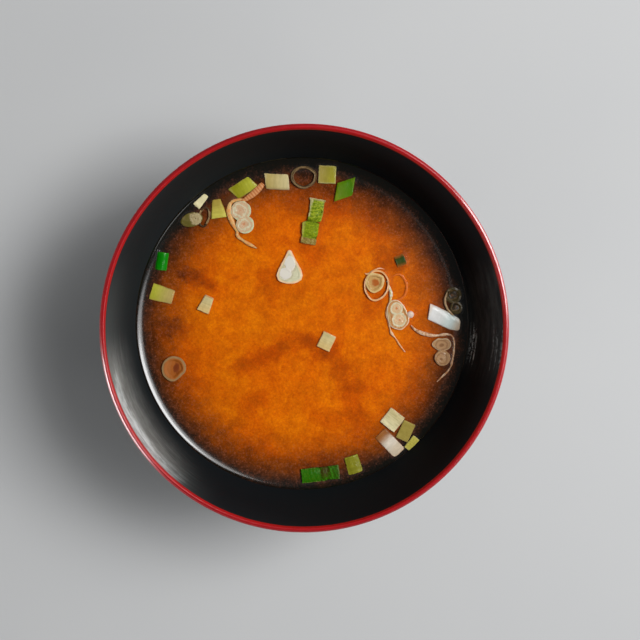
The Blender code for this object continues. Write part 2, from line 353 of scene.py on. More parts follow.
# %% [markdown]
# ## The bowl
#
# A lacquered bowl is turned from wood or pressed from resin, then coated. Spinning a section round the axis
# is how a lathe makes it, so the section is traced first, point by point, and spun in one go. The lip is
# round inside, flat on top and eased off at a slant outside, so a thin bright line runs along its outer edge.
# The foot ring has softened edges. The section starts and ends on the axis, which keeps the solid closed.

# %% A lathe
TURNED_STEPS = 192


def turned(name, section, steps=TURNED_STEPS):
    """Traces a section of (radius, height) points from axis to axis and spins it."""
    let_go()
    bpy.ops.mesh.primitive_plane_add(size=1 * MM, location=(0, 0, 0))
    made = bpy.context.object
    made.name = name
    bpy.ops.object.mode_set(mode="EDIT")
    bpy.ops.mesh.merge(type="CENTER")
    bpy.ops.transform.translate(value=(section[0][0], 0, section[0][1]))
    for near, far in zip(section, section[1:]):
        step = (far[0] - near[0], 0, far[1] - near[1])
        bpy.ops.mesh.extrude_vertices_move(TRANSFORM_OT_translate={"value": step})
    bpy.ops.mesh.select_all(action="SELECT")
    bpy.ops.mesh.spin(steps=steps, angle=2 * math.pi, center=(0, 0, 0), axis=(0, 0, 1))
    bpy.ops.mesh.select_all(action="SELECT")
    bpy.ops.mesh.remove_doubles(threshold=0.001 * MM)
    bpy.ops.mesh.normals_make_consistent(inside=False)
    bpy.ops.object.mode_set(mode="OBJECT")
    bpy.ops.object.shade_smooth_by_angle(angle=math.radians(50))
    return made


def wall_radii(count, edge, start_degrees=0.0):
    """Radii that lie closer together towards the edge, where the wall turns up."""
    start = math.radians(start_degrees)
    sweep = math.radians(90) - start
    return [edge * math.sin(start + sweep * step / count) for step in range(count + 1)]


def arc(centre, radius, first, last, count):
    """Points on an arc in the section, from one angle to another, in degrees."""
    points = []
    for step in range(count + 1):
        angle = math.radians(first + (last - first) * step / count)
        points.append((centre[0] + radius * math.cos(angle), centre[1] + radius * math.sin(angle)))
    return points


# %% The bowl's section
FOOT_NECK = 28.0 * MM
FOOT_RADIUS = 28.8 * MM
FOOT_INNER = 25.4 * MM
FOOT_EDGE = 0.6 * MM
RECESS_HEIGHT = 5.2 * MM

# The lip is round inside and flat on top, and its outer edge is eased off at a slant.
INNER_ROUND = 0.45 * MM
EASED_WIDTH = 0.70 * MM
EASED_ROUND = 0.12 * MM
EASED_SLANT = 42.5  # degrees
eased_drop = (EASED_WIDTH - EASED_ROUND) * math.tan(math.radians(EASED_SLANT))
eased_top = (RIM_RADIUS - EASED_WIDTH, BOWL_HEIGHT - EASED_ROUND)
eased_foot = (RIM_RADIUS - EASED_ROUND, BOWL_HEIGHT - EASED_ROUND - eased_drop)
lip = arc((INNER_RIM + INNER_ROUND, BOWL_HEIGHT - INNER_ROUND), INNER_ROUND, 180, 90, 8)
lip += arc(eased_top, EASED_ROUND, 90, 90 - EASED_SLANT, 3)
lip += arc(eased_foot, EASED_ROUND, 90 - EASED_SLANT, 0, 3)
inside = [(radius, inner_height(radius)) for radius in wall_radii(40, INNER_RIM)]
inside = [point for point in inside if point[1] < BOWL_HEIGHT - INNER_ROUND - 0.1 * MM]
neck_degrees = math.degrees(math.asin(FOOT_NECK / RIM_RADIUS))
outside = [
    (radius, outer_height(radius))
    for radius in reversed(wall_radii(28, RIM_RADIUS, neck_degrees)[1:-1])
    if outer_height(radius) < eased_foot[1] - 0.1 * MM
]
neck_height = outer_height(FOOT_NECK)
neck = [
    (FOOT_NECK + 0.5 * MM, neck_height - 0.15 * MM),
    (FOOT_NECK + 0.12 * MM, neck_height - 0.6 * MM),
    (FOOT_NECK + 0.05 * MM, neck_height - 1.4 * MM),
    (FOOT_NECK + 0.1 * MM, neck_height * 0.5),
]
foot = arc((FOOT_RADIUS - FOOT_EDGE, FOOT_EDGE), FOOT_EDGE, 0, -90, 4)
foot += arc((FOOT_INNER + FOOT_EDGE, FOOT_EDGE), FOOT_EDGE, -90, -180, 4)
recess = arc((FOOT_INNER - 2.0 * MM, RECESS_HEIGHT - 1.2 * MM), 1.2 * MM, 0, 90, 5)
bowl = turned("lacquer_bowl", inside + lip + outside + neck + foot + recess + [(0, RECESS_HEIGHT)])
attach(bowl, "root")
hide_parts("bowl")
print("bowl:", len(bowl.data.polygons), "faces")

# %% [markdown]
# ### Lacquer
#
# The bowl is black inside and out, and its lip is painted red in one stroke as it turns. Black lacquer shows
# almost nothing of itself, so its life is in what lies on it: a faint waviness from polishing, wiping marks
# round the wall, and a few drops on the right, painted white as glints. A pale sheen is painted into the
# black on the left, and faintly on the far and right sides, with a brighter painted highlight under the lip.
# Each is a mask that says where on the wall it lies, by height and by the angle round the axis. The red band
# is a height mask with a slightly unsteady edge, as a brush leaves it, and the outer half of the lip has the
# most gloss.

# %% The lacquer's two colours
lacquer, wire, place = new_paint("black_lacquer_red_lip")
x, y, z = parts_of(place)
lip_edge = BOWL_HEIGHT / MM - 0.9
wobble = noise(place, 9, 2) * 0.25
red_band = smooth_step(z + wobble, lip_edge + 0.05, lip_edge + 0.2)
brush = noise(place, 2.2, 3, seed=3)
red = mix(brush, screen(142, 3, 13), screen(174, 11, 20))
dust = noise(place, 26, 3, 0.6, seed=7)
black = mix(dust, screen(9, 15, 19), screen(16, 21, 24))

# %% Hot soup has dulled the inside, and the outside keeps its polish
from_axis = (x * x + y * y) ** 0.5
above_floor = z.math("MAXIMUM", z - FLOOR_HEIGHT / MM, 0.01)
inside_radius = (above_floor / ((BOWL_HEIGHT - FLOOR_HEIGHT) / MM)) ** (1 / INNER_POWER)
polished = smooth_step(from_axis - inside_radius * (INNER_RIM / MM), 0.25, 0.5)
marks = place.node("ShaderNodeMapping", inputs={"Vector": place, "Scale": (0.05, 0.05, 1.4)})
wiping = noise(marks, 1.0, 4, 0.65, seed=2)
up_wall = smooth_step(z, SOUP_LEVEL / MM, BOWL_HEIGHT / MM)


def facing(degrees, low, high):
    """1 on the part of the wall that lies towards an angle round the axis."""
    turn = math.radians(degrees)
    cosine = (x * math.cos(turn) + y * math.sin(turn)) / from_axis
    return smooth_step(cosine + (wiping - 0.5) * 0.06, low, high)


# %% Painted sheen on the wall, and drops painted white as glints
# A pale sheen is painted into the black: a streaky band on the left, faint ones on the far and right sides.
patches = place.node("ShaderNodeMapping", inputs={"Vector": place, "Scale": (0.12, 0.12, 0.4)})
streaks = smooth_step(noise(patches, 1.0, 4, 0.7, seed=9), 0.35, 0.7)
painted_sheen_left = facing(208, 0.86, 1.005) ** 1.7 * (0.4 + wiping * 0.2 + streaks * 0.45)
painted_sheen = painted_sheen_left + facing(200, 0.7, 1.0) * 0.15
painted_sheen = painted_sheen * up_wall**1.2 * (1 - smooth_step(z, 63.5, 65.5) * 0.4)
painted_sheen_far = facing(150, 0.5, 1.0) * 0.03
painted_sheen_right = facing(2, 0.93, 1.0) * (0.03 + streaks * 0.1)
painted_sheen = painted_sheen + painted_sheen_far + painted_sheen_right
black_and_painted_sheen = mix(painted_sheen * (1 - polished), black, screen(140, 147, 144))

# A brighter highlight is painted under the lip on the left, and drops on the right are painted white as glints.
under_lip = smooth_step(z, 58.5, 62.0) * smooth_step(z, 65.3, 64.5)
painted_lip_highlight = facing(211, 0.93, 1.0) * under_lip * (0.1 + streaks * 0.7)
drop_glints = smooth_step(noise(place, 0.9, 4, 0.8, seed=14), 0.45, 0.58) * facing(353.5, 0.9975, 0.9995)
drop_glints = drop_glints * (smooth_step(z, 44.5, 46) * smooth_step(z, 50, 48) + smooth_step(z, 58, 60) * 0.3)
black_and_painted_sheen = mix((painted_lip_highlight + drop_glints) * (1 - polished), black_and_painted_sheen, screen(205, 216, 218))

# %% The lacquer's gloss
kept = facing(207, 0.9, 1.0) * up_wall * 0.5
gloss = 0.84 + wiping * 0.12 - polished * 0.72
rim_gloss = smooth_step(from_axis, RIM_RADIUS / MM - 0.85, RIM_RADIUS / MM - 0.65) * 0.5 + 0.25
waves = noise(place, 18, 1, seed=5) + wiping * 0.05
connect(
    lacquer,
    Base_Color=mix(red_band, black_and_painted_sheen, red),
    Roughness=gloss.math("MAXIMUM", gloss - red_band * 0.3, 0.1),
    Specular_IOR_Level=0.15,
    Coat_Weight=(kept + polished * 0.4) * (1 - red_band) + red_band * rim_gloss,
    Coat_Roughness=0.22,
    Coat_IOR=1.9,
    Normal=bump(waves, 0.12, 0.6),
)
wear(bowl, lacquer)
print("lacquer:", len(lacquer.node_tree.nodes), "nodes")

# %% [markdown]
# ## The soup
#
# Miso soup is clear broth with a cloud of fine bean paste in it. Left for a minute, the cloud rises and sinks
# in rolling cells and draws away from the wall, so the middle is bright orange and the edge is dark. Two
# pieces show that. The soup's body is opaque and painted, with its top just under the surface. Over it lies
# the clear broth, with the gloss of the surface. Water climbs a wall that it wets, and there the body climbs
# a hair's breadth higher than the broth and has the gloss itself, since a steep see-through skin would
# sparkle. Both reach a little into the bowl's wall, so that no gap of air shows.

# %% The soup's body
CLOUD_DEPTH = 0.4 * MM
WALL_BITE = 0.15 * MM
CLIMB_WIDTH = 4 * MM
CLIMB_STEPS = 45
DIP_WIDTH = 3 * MM  # where the body's top goes down under the clear broth
DIP_STEPS = 8
FLAT_STEPS = 15
HAIR = 0.02 * MM  # how far the body stands over the clear broth at the wall
FINE_STEPS = 320  # more steps round than the bowl, since the soup's edge is seen close

below = [radius for radius in wall_radii(24, INNER_RIM) if inner_height(radius) < SOUP_LEVEL - 2 * MM]
underside = [(radius, inner_height(radius) - WALL_BITE) for radius in below]
underside[0] = (0, FLOOR_HEIGHT - WALL_BITE)
cloud_top = SOUP_LEVEL - CLOUD_DEPTH


def meniscus(from_wall):
    """The height of the surface at a distance from the wall, where the broth climbs."""
    slope = max(1 - from_wall / (3.2 * MM), 0) ** 1.6
    lip = math.exp(-max(from_wall, 0) / (0.2 * MM))
    return SOUP_LEVEL + MENISCUS_RISE * (0.69 * slope + 0.31 * lip)


# %% The soup's top: a climb at the wall, a dip, and level from there
# The climb's places are distances from the wall, and its steps are shortest there.
away_steps = [WALL_BITE + CLIMB_WIDTH * (step / CLIMB_STEPS) ** 1.4 for step in range(1, CLIMB_STEPS + 1)]
surface = [(CONTACT_RADIUS + WALL_BITE - away, meniscus(away - WALL_BITE)) for away in away_steps]
climb = [(CONTACT_RADIUS + WALL_BITE, meniscus(-WALL_BITE) + HAIR)]
climb += [(radius, height + HAIR) for radius, height in surface]
FLAT_EDGE, edge_height = climb[-1]
dip = []
for step in range(1, DIP_STEPS + 1):
    share = 0.5 - 0.5 * math.cos(math.pi * step / DIP_STEPS)
    height = edge_height + (cloud_top - edge_height) * share
    dip.append((FLAT_EDGE - DIP_WIDTH * step / DIP_STEPS, height))
dip_end = FLAT_EDGE - DIP_WIDTH
flat = [(dip_end * (1 - step / FLAT_STEPS), cloud_top) for step in range(1, FLAT_STEPS + 1)]
cloud = turned("miso_cloud", underside + climb + dip + flat, steps=FINE_STEPS)
print("soup body:", len(cloud.data.polygons), "faces")
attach(cloud, "root")
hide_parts("soup")

# %% How thick the cloud is
miso, wire, place = new_paint("miso_cloud")
x, y, z = parts_of(place)
drift = noise(place, 14, 3, 0.55, seed=1)
swirl = noise(place, 5, 4, 0.6, distortion=0.6, seed=4)
grain = noise(place, 0.7, 4, 0.75, seed=11)

# The cloud lies a little to the near side.
off_x = x + 0.1
off_y = y + 1.0
from_centre = (off_x * off_x + off_y * off_y) ** 0.5
reach = from_centre - 26 + (swirl - 0.5) * 4 + (drift - 0.5) * 5
away = wire.math("MAXIMUM", reach / 22, 0.0)
density = 0.885 - away**2.4 * 0.9

# %% Where cells of the cloud meet and sink
# It is darker there. Each place is (x, y), half length and width in mm, turn in degrees, strength.
SINKING = (
    ((-14.0, -10.5), 7.0, 3.0, 28, 0.17),
    ((-3.0, -6.0), 7.0, 3.0, 22, 0.13),
    ((4.5, -6.6), 5.0, 3.6, -8, 0.18),
    ((11.0, -12.0), 6.0, 3.4, -55, 0.14),
    ((15.0, -24.0), 8.0, 3.4, -78, 0.13),
    ((-15.0, -23.5), 5.0, 3.0, 30, 0.11),
    ((-31.0, 14.0), 6.0, 3.0, -28, 0.22),
    ((-10.0, 12.5), 4.0, 5.0, 0, 0.08),
    ((-38.0, -0.5), 5.0, 2.2, 4, 0.16),
    ((8.0, -28.0), 5.0, 3.2, -10, 0.08),
    ((22.0, 8.0), 3.5, 5.0, -20, 0.10),
    ((26.0, 19.0), 5.0, 4.0, 50, 0.16),
    ((3.0, 25.0), 4.0, 7.0, 0, 0.10),
    ((4.0, 36.5), 10.0, 5.0, -8, 0.13),
    ((21.0, 31.5), 7.0, 4.0, -30, 0.08),
    ((7.0, -41.0), 8.0, 3.0, 8, 0.12),
)
sunken = 0.0
warp_x = (noise(place, 4.5, 3, 0.6, seed=21) - 0.5) * 9
warp_y = (noise(place, 4.5, 3, 0.6, seed=22) - 0.5) * 9
for (spot_x, spot_y), half_length, half_width, turn, strength in SINKING:
    cosine, sine = math.cos(math.radians(turn)), math.sin(math.radians(turn))
    there_x = x + warp_x - spot_x
    there_y = y + warp_y - spot_y
    along = (there_x * cosine + there_y * sine) / half_length
    side = (there_y * cosine - there_x * sine) / half_width
    here = (1 - smooth_step(along * along + side * side, 0.0, 2.0)) * strength
    density = density - here
    sunken = sunken + here

cells = noise(place, 3.6, 5, 0.7, distortion=0.3, seed=6)
calm = 1 - smooth_step(away, 0.5, 0.95) * 0.4
density = density + ((cells - 0.5) * 0.58 + (grain - 0.5) * 0.5) * calm
print("sinking places:", len(SINKING))

# %% The cloud's colour
cloud_colour = ramp(
    density,
    (0.00, screen(10, 9, 9)),
    (0.16, screen(46, 24, 19)),
    (0.34, screen(93, 44, 23)),
    (0.52, screen(134, 63, 15)),
    (0.68, screen(168, 78, 4)),
    (0.84, screen(198, 97, 1)),
    (1.00, screen(222, 122, 2)),
)
hue = smooth_step(noise(place, 12, 3, 0.6, seed=31), 0.3, 0.7)
hue = mix(hue, (1.0, 0.90, 0.1, 1), (1.0, 1.10, 0.6, 1))
cloud_colour = mix(1.0, cloud_colour, hue, "MULTIPLY")
redder = mix(1.0, cloud_colour, (1.12, 0.9, 1.0, 1), "MULTIPLY")
cloud_colour = mix(sunken * 3.0, cloud_colour, redder)

# %% Flakes, and the whole finish
# Out where the broth is clear, single flakes of paste catch the light, a little rosy.
specks = noise(place, 0.55, 3, 0.75, seed=41)
fleck = mix(smooth_step(specks, 0.35, 0.65), (0.95, 0.84, 0.8, 1), (1.05, 1.16, 1.3, 1))
cloud_colour = mix(1.0, cloud_colour, fleck, "MULTIPLY")
outside = smooth_step(away, 0.25, 0.65) * smooth_step(away, 1.1, 0.8)
cloud_colour = mix(smooth_step(specks, 0.5, 0.72) * outside * 0.4, cloud_colour, screen(170, 98, 78))

# The coat stops where the clear broth comes to lie on top.
from_axis = (x * x + y * y) ** 0.5
connect(
    miso,
    Base_Color=cloud_colour,
    Roughness=0.9,
    Specular_IOR_Level=0.0,
    Coat_Weight=smooth_step(from_axis, FLAT_EDGE / MM - 0.6, FLAT_EDGE / MM - 0.3),
    Coat_Roughness=0.13,
    Coat_IOR=1.55,
)
wear(cloud, miso)
print("soup's finish:", len(miso.node_tree.nodes), "nodes")

# %% [markdown]
# ## Spring onion
#
# What floats on the soup is one spring onion cut up: chips of its leaves, rings of its hollow parts, and
# slices of the stem, whose sheaths lie round each other like a tree's rings. All of it starts as a plain
# primitive at the origin and is cut, pulled and rounded there. Then it is turned and laid where the packed
# model has it. The helpers below do the steps that every piece needs.

# %% Helpers for shaping


def named(name):
    bpy.context.object.name = name
    return bpy.context.object


def pick(piece, test, kind="VERT"):
    """In edit mode, selects what passes a test by its place in millimetres."""
    bpy.context.view_layer.objects.active = piece
    bpy.ops.object.mode_set(mode="EDIT")
    bpy.ops.mesh.select_mode(type=kind)
    bpy.ops.mesh.select_all(action="DESELECT")
    bpy.ops.object.mode_set(mode="OBJECT")
    if kind == "VERT":
        for vertex in piece.data.vertices:
            vertex.select = test(vertex.co / MM)
    else:
        for face in piece.data.polygons:
            face.select = test(face.center / MM, face.normal)
    bpy.ops.object.mode_set(mode="EDIT")


def modify(piece, kind, **settings):
    """Adds a modifier and applies it."""
    if bpy.context.object and bpy.context.object.mode != "OBJECT":
        bpy.ops.object.mode_set(mode="OBJECT")
    modifier = piece.modifiers.new(kind.lower(), kind)
    for key, value in settings.items():
        setattr(modifier, key, value)
    bpy.context.view_layer.objects.active = piece
    bpy.ops.object.modifier_apply(modifier=modifier.name)


def round_edges(piece, width, segments=2):
    modify(piece, "BEVEL", width=width * MM, segments=segments, limit_method="ANGLE")


def smooth_out(piece, levels=1):
    modify(piece, "SUBSURF", levels=levels, render_levels=levels)


def roughen(piece, size, strength):
    """Grown things are never even: soft lumps of a size, in millimetres."""
    lumps = bpy.data.textures.new(piece.name + "_lumps", "CLOUDS")
    lumps.noise_scale = size * MM
    modify(piece, "DISPLACE", texture=lumps, strength=strength * MM, mid_level=0.5)


def join(pieces, name):
    """Makes one piece of several."""
    let_go()
    for piece in pieces:
        piece.select_set(True)
    bpy.context.view_layer.objects.active = pieces[0]
    if len(pieces) > 1:
        bpy.ops.object.join()
    return named(name)


def lay(piece, node, turn=0.0, lean=0.0, tip=0.0, nudge=(0, 0, 0)):
    """Turns a piece and lays it where a node is: middle over middle and top level with top.

    The nudge that follows is in millimetres.
    """
    let_go()
    piece.select_set(True)
    bpy.context.view_layer.objects.active = piece
    piece.rotation_euler = Euler([math.radians(angle) for angle in (lean, tip, turn)])
    bpy.ops.object.transform_apply(location=True, rotation=True, scale=True)
    corners = [Vector(corner) for corner in piece.bound_box]
    low = Vector([min(corner[axis] for corner in corners) for axis in range(3)])
    high = Vector([max(corner[axis] for corner in corners) for axis in range(3)])
    node_low, node_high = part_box(node)
    shift = (node_low + node_high - low - high) / 2
    shift.z = node_high.z - high.z
    piece.location = shift + Vector(nudge) * MM
    bpy.ops.object.transform_apply(location=True, rotation=True, scale=True)


# %% [markdown]
# ### Chips
#
# A chip is a bit of a leaf's wall. It is a little arched, because the leaf is a tube, it has a pair of clean
# cuts, and its fibres run from cut to cut. So a cube is stretched and subdivided, its rows are lowered
# towards the edges for the arch, its sides slide past each other where the cut is slanted, and one end may
# be narrower or hang. A bevel keeps the cuts crisp under the subdivision.

# %% A chip
CHIP_ROWS = 6


def drag(piece, test, shift, reach):
    """Moves what passes a test by a shift, and its neighbours less and less, all in millimetres."""
    pick(piece, test)
    bpy.ops.transform.translate(
        value=Vector(shift) * MM,
        use_proportional_edit=True,
        proportional_edit_falloff="LINEAR",
        proportional_size=reach * MM,
    )


def chip(name, length, width, thick=1.5, arch=0.4, taper=0.0, slant=0.0, droop=0.0, soft=0.22, seed=0):
    """Length runs along X and width along Y, in millimetres.

    Slant slides the sides along X, and droop lets the far end hang.
    """
    let_go()
    bpy.ops.mesh.primitive_cube_add(size=1, scale=(length * MM, width * MM, thick * MM))
    piece = named(name)
    bpy.ops.object.mode_set(mode="EDIT")
    bpy.ops.mesh.select_all(action="SELECT")
    bpy.ops.mesh.subdivide(number_cuts=CHIP_ROWS - 1)
    chance = random.Random(seed)
    for step in range(CHIP_ROWS + 1):
        place = 2 * step / CHIP_ROWS - 1
        row = place * width / 2
        pick(piece, lambda point: abs(point.y - row) < 0.01)
        drop = -arch * place**2 + chance.uniform(-0.07, 0.07)
        bpy.ops.transform.translate(value=(0, 0, drop * MM))
    for step in range(CHIP_ROWS + 1):
        place = 2 * step / CHIP_ROWS - 1
        column = place * length / 2
        pick(piece, lambda point: abs(point.x - column) < 0.01)
        narrow = 1 - taper * (place + 1) / 2
        bpy.ops.transform.resize(value=(1, narrow, 1), center_override=(0, 0, 0))
        slide = (chance.uniform(-0.05, 0.05), chance.uniform(-0.06, 0.06))
        bpy.ops.transform.translate(value=(0, slide[0] * MM, slide[1] * MM))
    if slant:
        for side in (1, -1):
            drag(piece, lambda point: point.y * side > width * 0.42, (-slant * side, 0, 0), width / 2)
    if droop:
        drag(piece, lambda point: point.x > length * 0.42, (0, 0, -droop), length * 0.55)
    bpy.ops.object.mode_set(mode="OBJECT")
    round_edges(piece, soft)
    smooth_out(piece)
    return piece


# %% [markdown]
# ### The finish of a leaf
#
# A leaf's colour changes along it from white through cream and yellow-green to green, and one chip already
# shows a stretch of that. Its fibres are fine stripes from cut to cut, the cut edges are paler and let light
# through, and everything is wet. Below the surface the broth's colour covers it quickly.

# %% The onion's tints
TINTS = {
    "bright_white": (228, 227, 224),
    "glint_white": (232, 206, 190),
    "cream_white": (228, 218, 172),
    "cream_soft": (206, 190, 138),
    "lime_pale": (198, 188, 82),
    "straw_pale": (174, 152, 66),
    "pink_white": (222, 210, 192),
    "end_tan": (214, 196, 170),
    "end_peach": (222, 190, 160),
    "cool_white": (222, 234, 230),
    "heart_flesh": (192, 150, 90),
    "heart_line": (176, 130, 76),
    "flesh_rose": (204, 170, 134),
    "core_deep": (168, 78, 0),
    "ring_amber": (164, 98, 46),
    "curl_flesh": (172, 152, 110),
    "slice_rose": (212, 174, 130),
    "slice_green": (208, 204, 170),
    "broth_gap": (190, 120, 54),
    "thread": (190, 134, 92),
    "thread_pale": (226, 198, 166),
    "thread_peach": (226, 172, 112),
    "lime_bright": (168, 174, 50),
    "white": (212, 217, 212),
    "warm_white": (220, 204, 166),
    "cream": (204, 194, 140),
    "cream_warm": (214, 184, 120),
    "cream_dim": (184, 162, 96),
    "straw": (160, 142, 66),
    "lime": (174, 174, 52),
    "lime_deep": (140, 138, 16),
    "lime_olive": (132, 130, 30),
    "yellow_olive": (160, 152, 42),
    "green": (90, 120, 0),
    "green_leaf": (72, 122, 0),
    "green_bright": (6, 128, 2),
    "green_pale": (90, 170, 60),
    "green_mid": (20, 106, 2),
    "green_lit": (70, 150, 26),
    "green_deep": (22, 78, 4),
    "green_dark": (20, 50, 4),
    "skin": (176, 128, 70),
    "skin_pale": (206, 146, 88),
    "faded": (166, 104, 44),
    "green_sunk": (40, 66, 16),
    "tan_sunk": (96, 54, 26),
    "glassy": (130, 96, 50),
    "leaf_shade": (64, 92, 0),
    "sheath_white": (206, 200, 160),
    "cold_white": (222, 218, 200),
    "sheath_pale": (198, 202, 160),
    "core_red": (110, 44, 12),
    "ring_grey": (104, 84, 52),
    "olive_pale": (92, 84, 28),
    "sheath_green": (172, 142, 92),
    "flesh_grey": (204, 178, 140),
    "core_orange": (206, 108, 22),
    "core_rose": (196, 118, 70),
    "core_brown": (104, 62, 36),
    "tan": (178, 136, 94),
    "tan_dark": (136, 94, 58),
    "olive_skin": (80, 68, 36),
    "olive_dark": (52, 42, 24),
    "peach_light": (226, 152, 84),
    "broth_light": (196, 108, 24),
    "rib_dark": (186, 108, 58),
    "rib_light": (210, 150, 98),
    "skin_cream": (240, 200, 152),
    "sheath_line": (186, 178, 140),
    "stem_white": (222, 215, 202),
    "strand_white": (180, 146, 108),
    "ring_brown": (150, 122, 82),
    "ring_dark": (66, 46, 26),
    "flesh_tan": (160, 88, 30),
    "leaf_light": (148, 166, 30),
}
print("tints:", len(TINTS))


def tint(name):
    return screen(*TINTS[name])


def murk_colour(x, y):
    """The broth's own colour at a place, which hides what lies under it."""
    radius = math.hypot(x, y)
    clear = min(max((radius - 34) / 13, 0), 1)
    cloudy, dark = (206, 104, 22), (40, 22, 14)
    return screen(*[a + (b - a) * clear for a, b in zip(cloudy, dark)])


def under_broth(z, colour, murk, depth=1.0):
    """Covers a colour with the broth's, more and more down to a depth in millimetres."""
    level = SOUP_LEVEL / MM
    return mix(smooth_step(z, level + 0.25, level + 0.25 - depth), colour, murk)


# %% Leaf finish


def own_place(place, centre, turn):
    """The place in the piece's own frame, in millimetres from its middle."""
    return place.node(
        "ShaderNodeMapping",
        {"vector_type": "TEXTURE"},
        {
            "Vector": place,
            "Location": (centre.x / MM, centre.y / MM, 0),
            "Rotation": (0, 0, math.radians(turn)),
        },
    )


def leaf_finish(
    piece, turn, size, near, far, middle=None, rim="cream", rim_amount=0.35, stripes=0.35, shift=0.0,
    shine=0.25,
):  # fmt: skip
    """Near, middle and far are the tints along it. The fibres run along the width."""
    material, wire, place = new_paint(piece.name + "_finish")
    box = [Vector(corner) for corner in piece.bound_box]
    centre = sum(box, Vector()) / 8
    own = own_place(place, centre, turn)
    x, y, z = parts_of(own)
    seed = centre.x / MM
    drawn = place.node("ShaderNodeMapping", inputs={"Vector": own, "Scale": (1.0, 0.12, 0.5)})
    fibres = noise(drawn, 0.5, 3, 0.6, seed=seed)
    mottle = noise(own, 1.5, 3, 0.6, seed=seed)
    along = smooth_step(x + (mottle - 0.5) * 1.2 - shift, -size[0] * 0.45, size[0] * 0.45)
    colour = mix(along, tint(near), tint(far))
    if middle:
        colour = mix(smooth_step(along, 0.0, 0.5), tint(near), tint(middle))
        colour = mix(smooth_step(along, 0.6, 1.0), colour, tint(far))
    pale = mix(1.0, colour, (1.22, 1.2, 1.2, 1), "MULTIPLY")
    deep = mix(0.6, colour, tint("lime_olive"), "MULTIPLY")
    colour = mix(smooth_step(fibres, 0.35, 0.75) * stripes, colour, deep)
    colour = mix(smooth_step(mottle, 0.5, 0.8) * 0.6, colour, pale)
    to_end = x.math("ABSOLUTE", x, 0.0) / (size[0] / 2)
    to_side = y.math("ABSOLUTE", y, 0.0) / (size[1] / 2)
    edge = smooth_step(x.math("MAXIMUM", to_end, to_side) + (mottle - 0.5) * 0.25, 0.78, 1.02)
    colour = mix(edge * rim_amount, colour, tint(rim))
    colour = under_broth(z, colour, murk_colour(centre.x / MM, centre.y / MM), 0.8)
    relief = fibres * 0.7 + mottle * 0.3
    connect(
        material,
        Base_Color=colour,
        Roughness=0.4 + fibres * 0.2,
        Specular_IOR_Level=0.08,
        Coat_Weight=shine,
        Coat_Roughness=0.1,
        Normal=bump(relief, 0.3, 0.1),
    )
    wear(piece, material)


# %% The chips, and what makes up each
CHIPS = {
    "chip_slim": dict(
        size=(4.6, 2.5), turn=48, taper=0.36, arch=0.1, near="cream_white", far="cream_white", shine=0.1,
    ),
    "chip_pale": dict(
        size=(5.6, 4.7), turn=98, taper=0.48, droop=0.3, arch=0.15, near="lime_pale", far="straw_pale",
        rim="straw_pale", shine=0.05,
    ),
    "chip_olive": dict(
        size=(7.0, 4.2), turn=33, slant=0.6, lean=4, near="lime_deep", far="lime", rim="cream_dim", shine=0.08
    ),
    "chip_cream_far": dict(
        size=(7.1, 4.7), turn=-3, slant=0.35, lean=4, near="cream_dim", far="cream_soft", rim="warm_white",
        shine=0.1,
    ),
    "chip_yellow_far": dict(
        size=(5.2, 5.3), turn=-3, arch=0.25, near="straw", far="yellow_olive", rim="cream",
        rim_amount=0.45, shine=0.08,
    ),
    "chip_green_far": dict(
        size=(5.7, 4.9), turn=19, slant=-1.35, arch=0.2, near="green", far="green_leaf", rim="lime",
        rim_amount=0.15, shine=0.05, stripes=0.2,
    ),
    "chip_green_left": dict(
        size=(5.3, 3.5), turn=82, arch=0.9, soft=0.8, near="green_bright", far="green_bright",
        rim="green_pale", rim_amount=0.2,
    ),
    "chip_yellow_left": dict(
        size=(6.8, 5.2), turn=-17, taper=0.2, near="lime", far="cream_dim", rim="skin_pale", shine=0.1
    ),
    "chip_cream_left": dict(
        size=(5.0, 3.9), turn=66, nudge=(0.1, -0.3, 0), taper=0.3, arch=0.2, near="cream_warm",
        far="cream_soft", rim="skin_pale", rim_amount=0.6, shine=0.05,
    ),
    "chip_cream_middle": dict(
        size=(5.0, 4.2), turn=64, arch=0.2, near="cream_warm", far="cream_soft", rim="skin_pale",
        rim_amount=0.5, shine=0.1,
    ),
    # Its middle is tinted cool white: its own white with a painted bluish highlight.
    "chip_white_right": dict(
        size=(10.3, 4.7), turn=-25, slant=0.7, tip=2, nudge=(0.1, -0.1, 0), near="bright_white",
        middle="cool_white", far="end_tan", rim="end_peach", shine=0.3, shift=1.6, stripes=0.15,
        rim_amount=0.6,
    ),
    "chip_cream_right": dict(
        size=(5.5, 5.4), turn=52, nudge=(0.2, -0.1, 0), near="cream_white", far="cream_soft",
        rim="end_peach", stripes=0.7, arch=0.2, shine=0.1,
    ),
    "chip_olive_right": dict(
        size=(5.8, 3.9), turn=65, nudge=(-0.05, -0.4, 0), arch=0.15, near="straw", far="straw",
        rim="cream_dim", shine=0.0,
    ),
    "chip_white_near": dict(
        size=(8.5, 4.3), turn=-46, tip=-3.5, nudge=(0.25, -0.3, 0), arch=0.1, near="faded",
        middle="pink_white", far="end_tan", rim="skin_pale", shift=-0.4, shine=0.05, rim_amount=0.3,
    ),
    "chip_small_near": dict(
        size=(4.5, 2.4), turn=52, nudge=(0.4, -0.75, 0), arch=0.1, thick=1.2, near="lime_pale",
        far="lime_pale", rim="cream", rim_amount=0.4, shine=0.1,
    ),
    "chip_yellow_near": dict(
        size=(5.4, 4.7), turn=107, taper=0.12, soft=0.4, near="lime_olive", far="lime_olive", rim="lime",
        shine=0.12,
    ),
}  # fmt: skip

# %% Make the chips
for number, (node, spec) in enumerate(CHIPS.items()):
    spec = dict(spec)
    size = spec.pop("size")
    pose = {key: spec.pop(key) for key in ("turn", "lean", "tip", "nudge") if key in spec}
    shape_keys = ("arch", "taper", "slant", "droop", "soft", "thick")
    shape = {key: spec.pop(key) for key in shape_keys if key in spec}
    piece = chip("leaf_" + node, *size, seed=number, **shape)
    lay(piece, node, **pose)
    roughen(piece, 1.6, 0.16)
    leaf_finish(piece, pose["turn"], size, **spec)
    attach(piece, "root")
    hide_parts(node)
print("chips:", len(CHIPS))

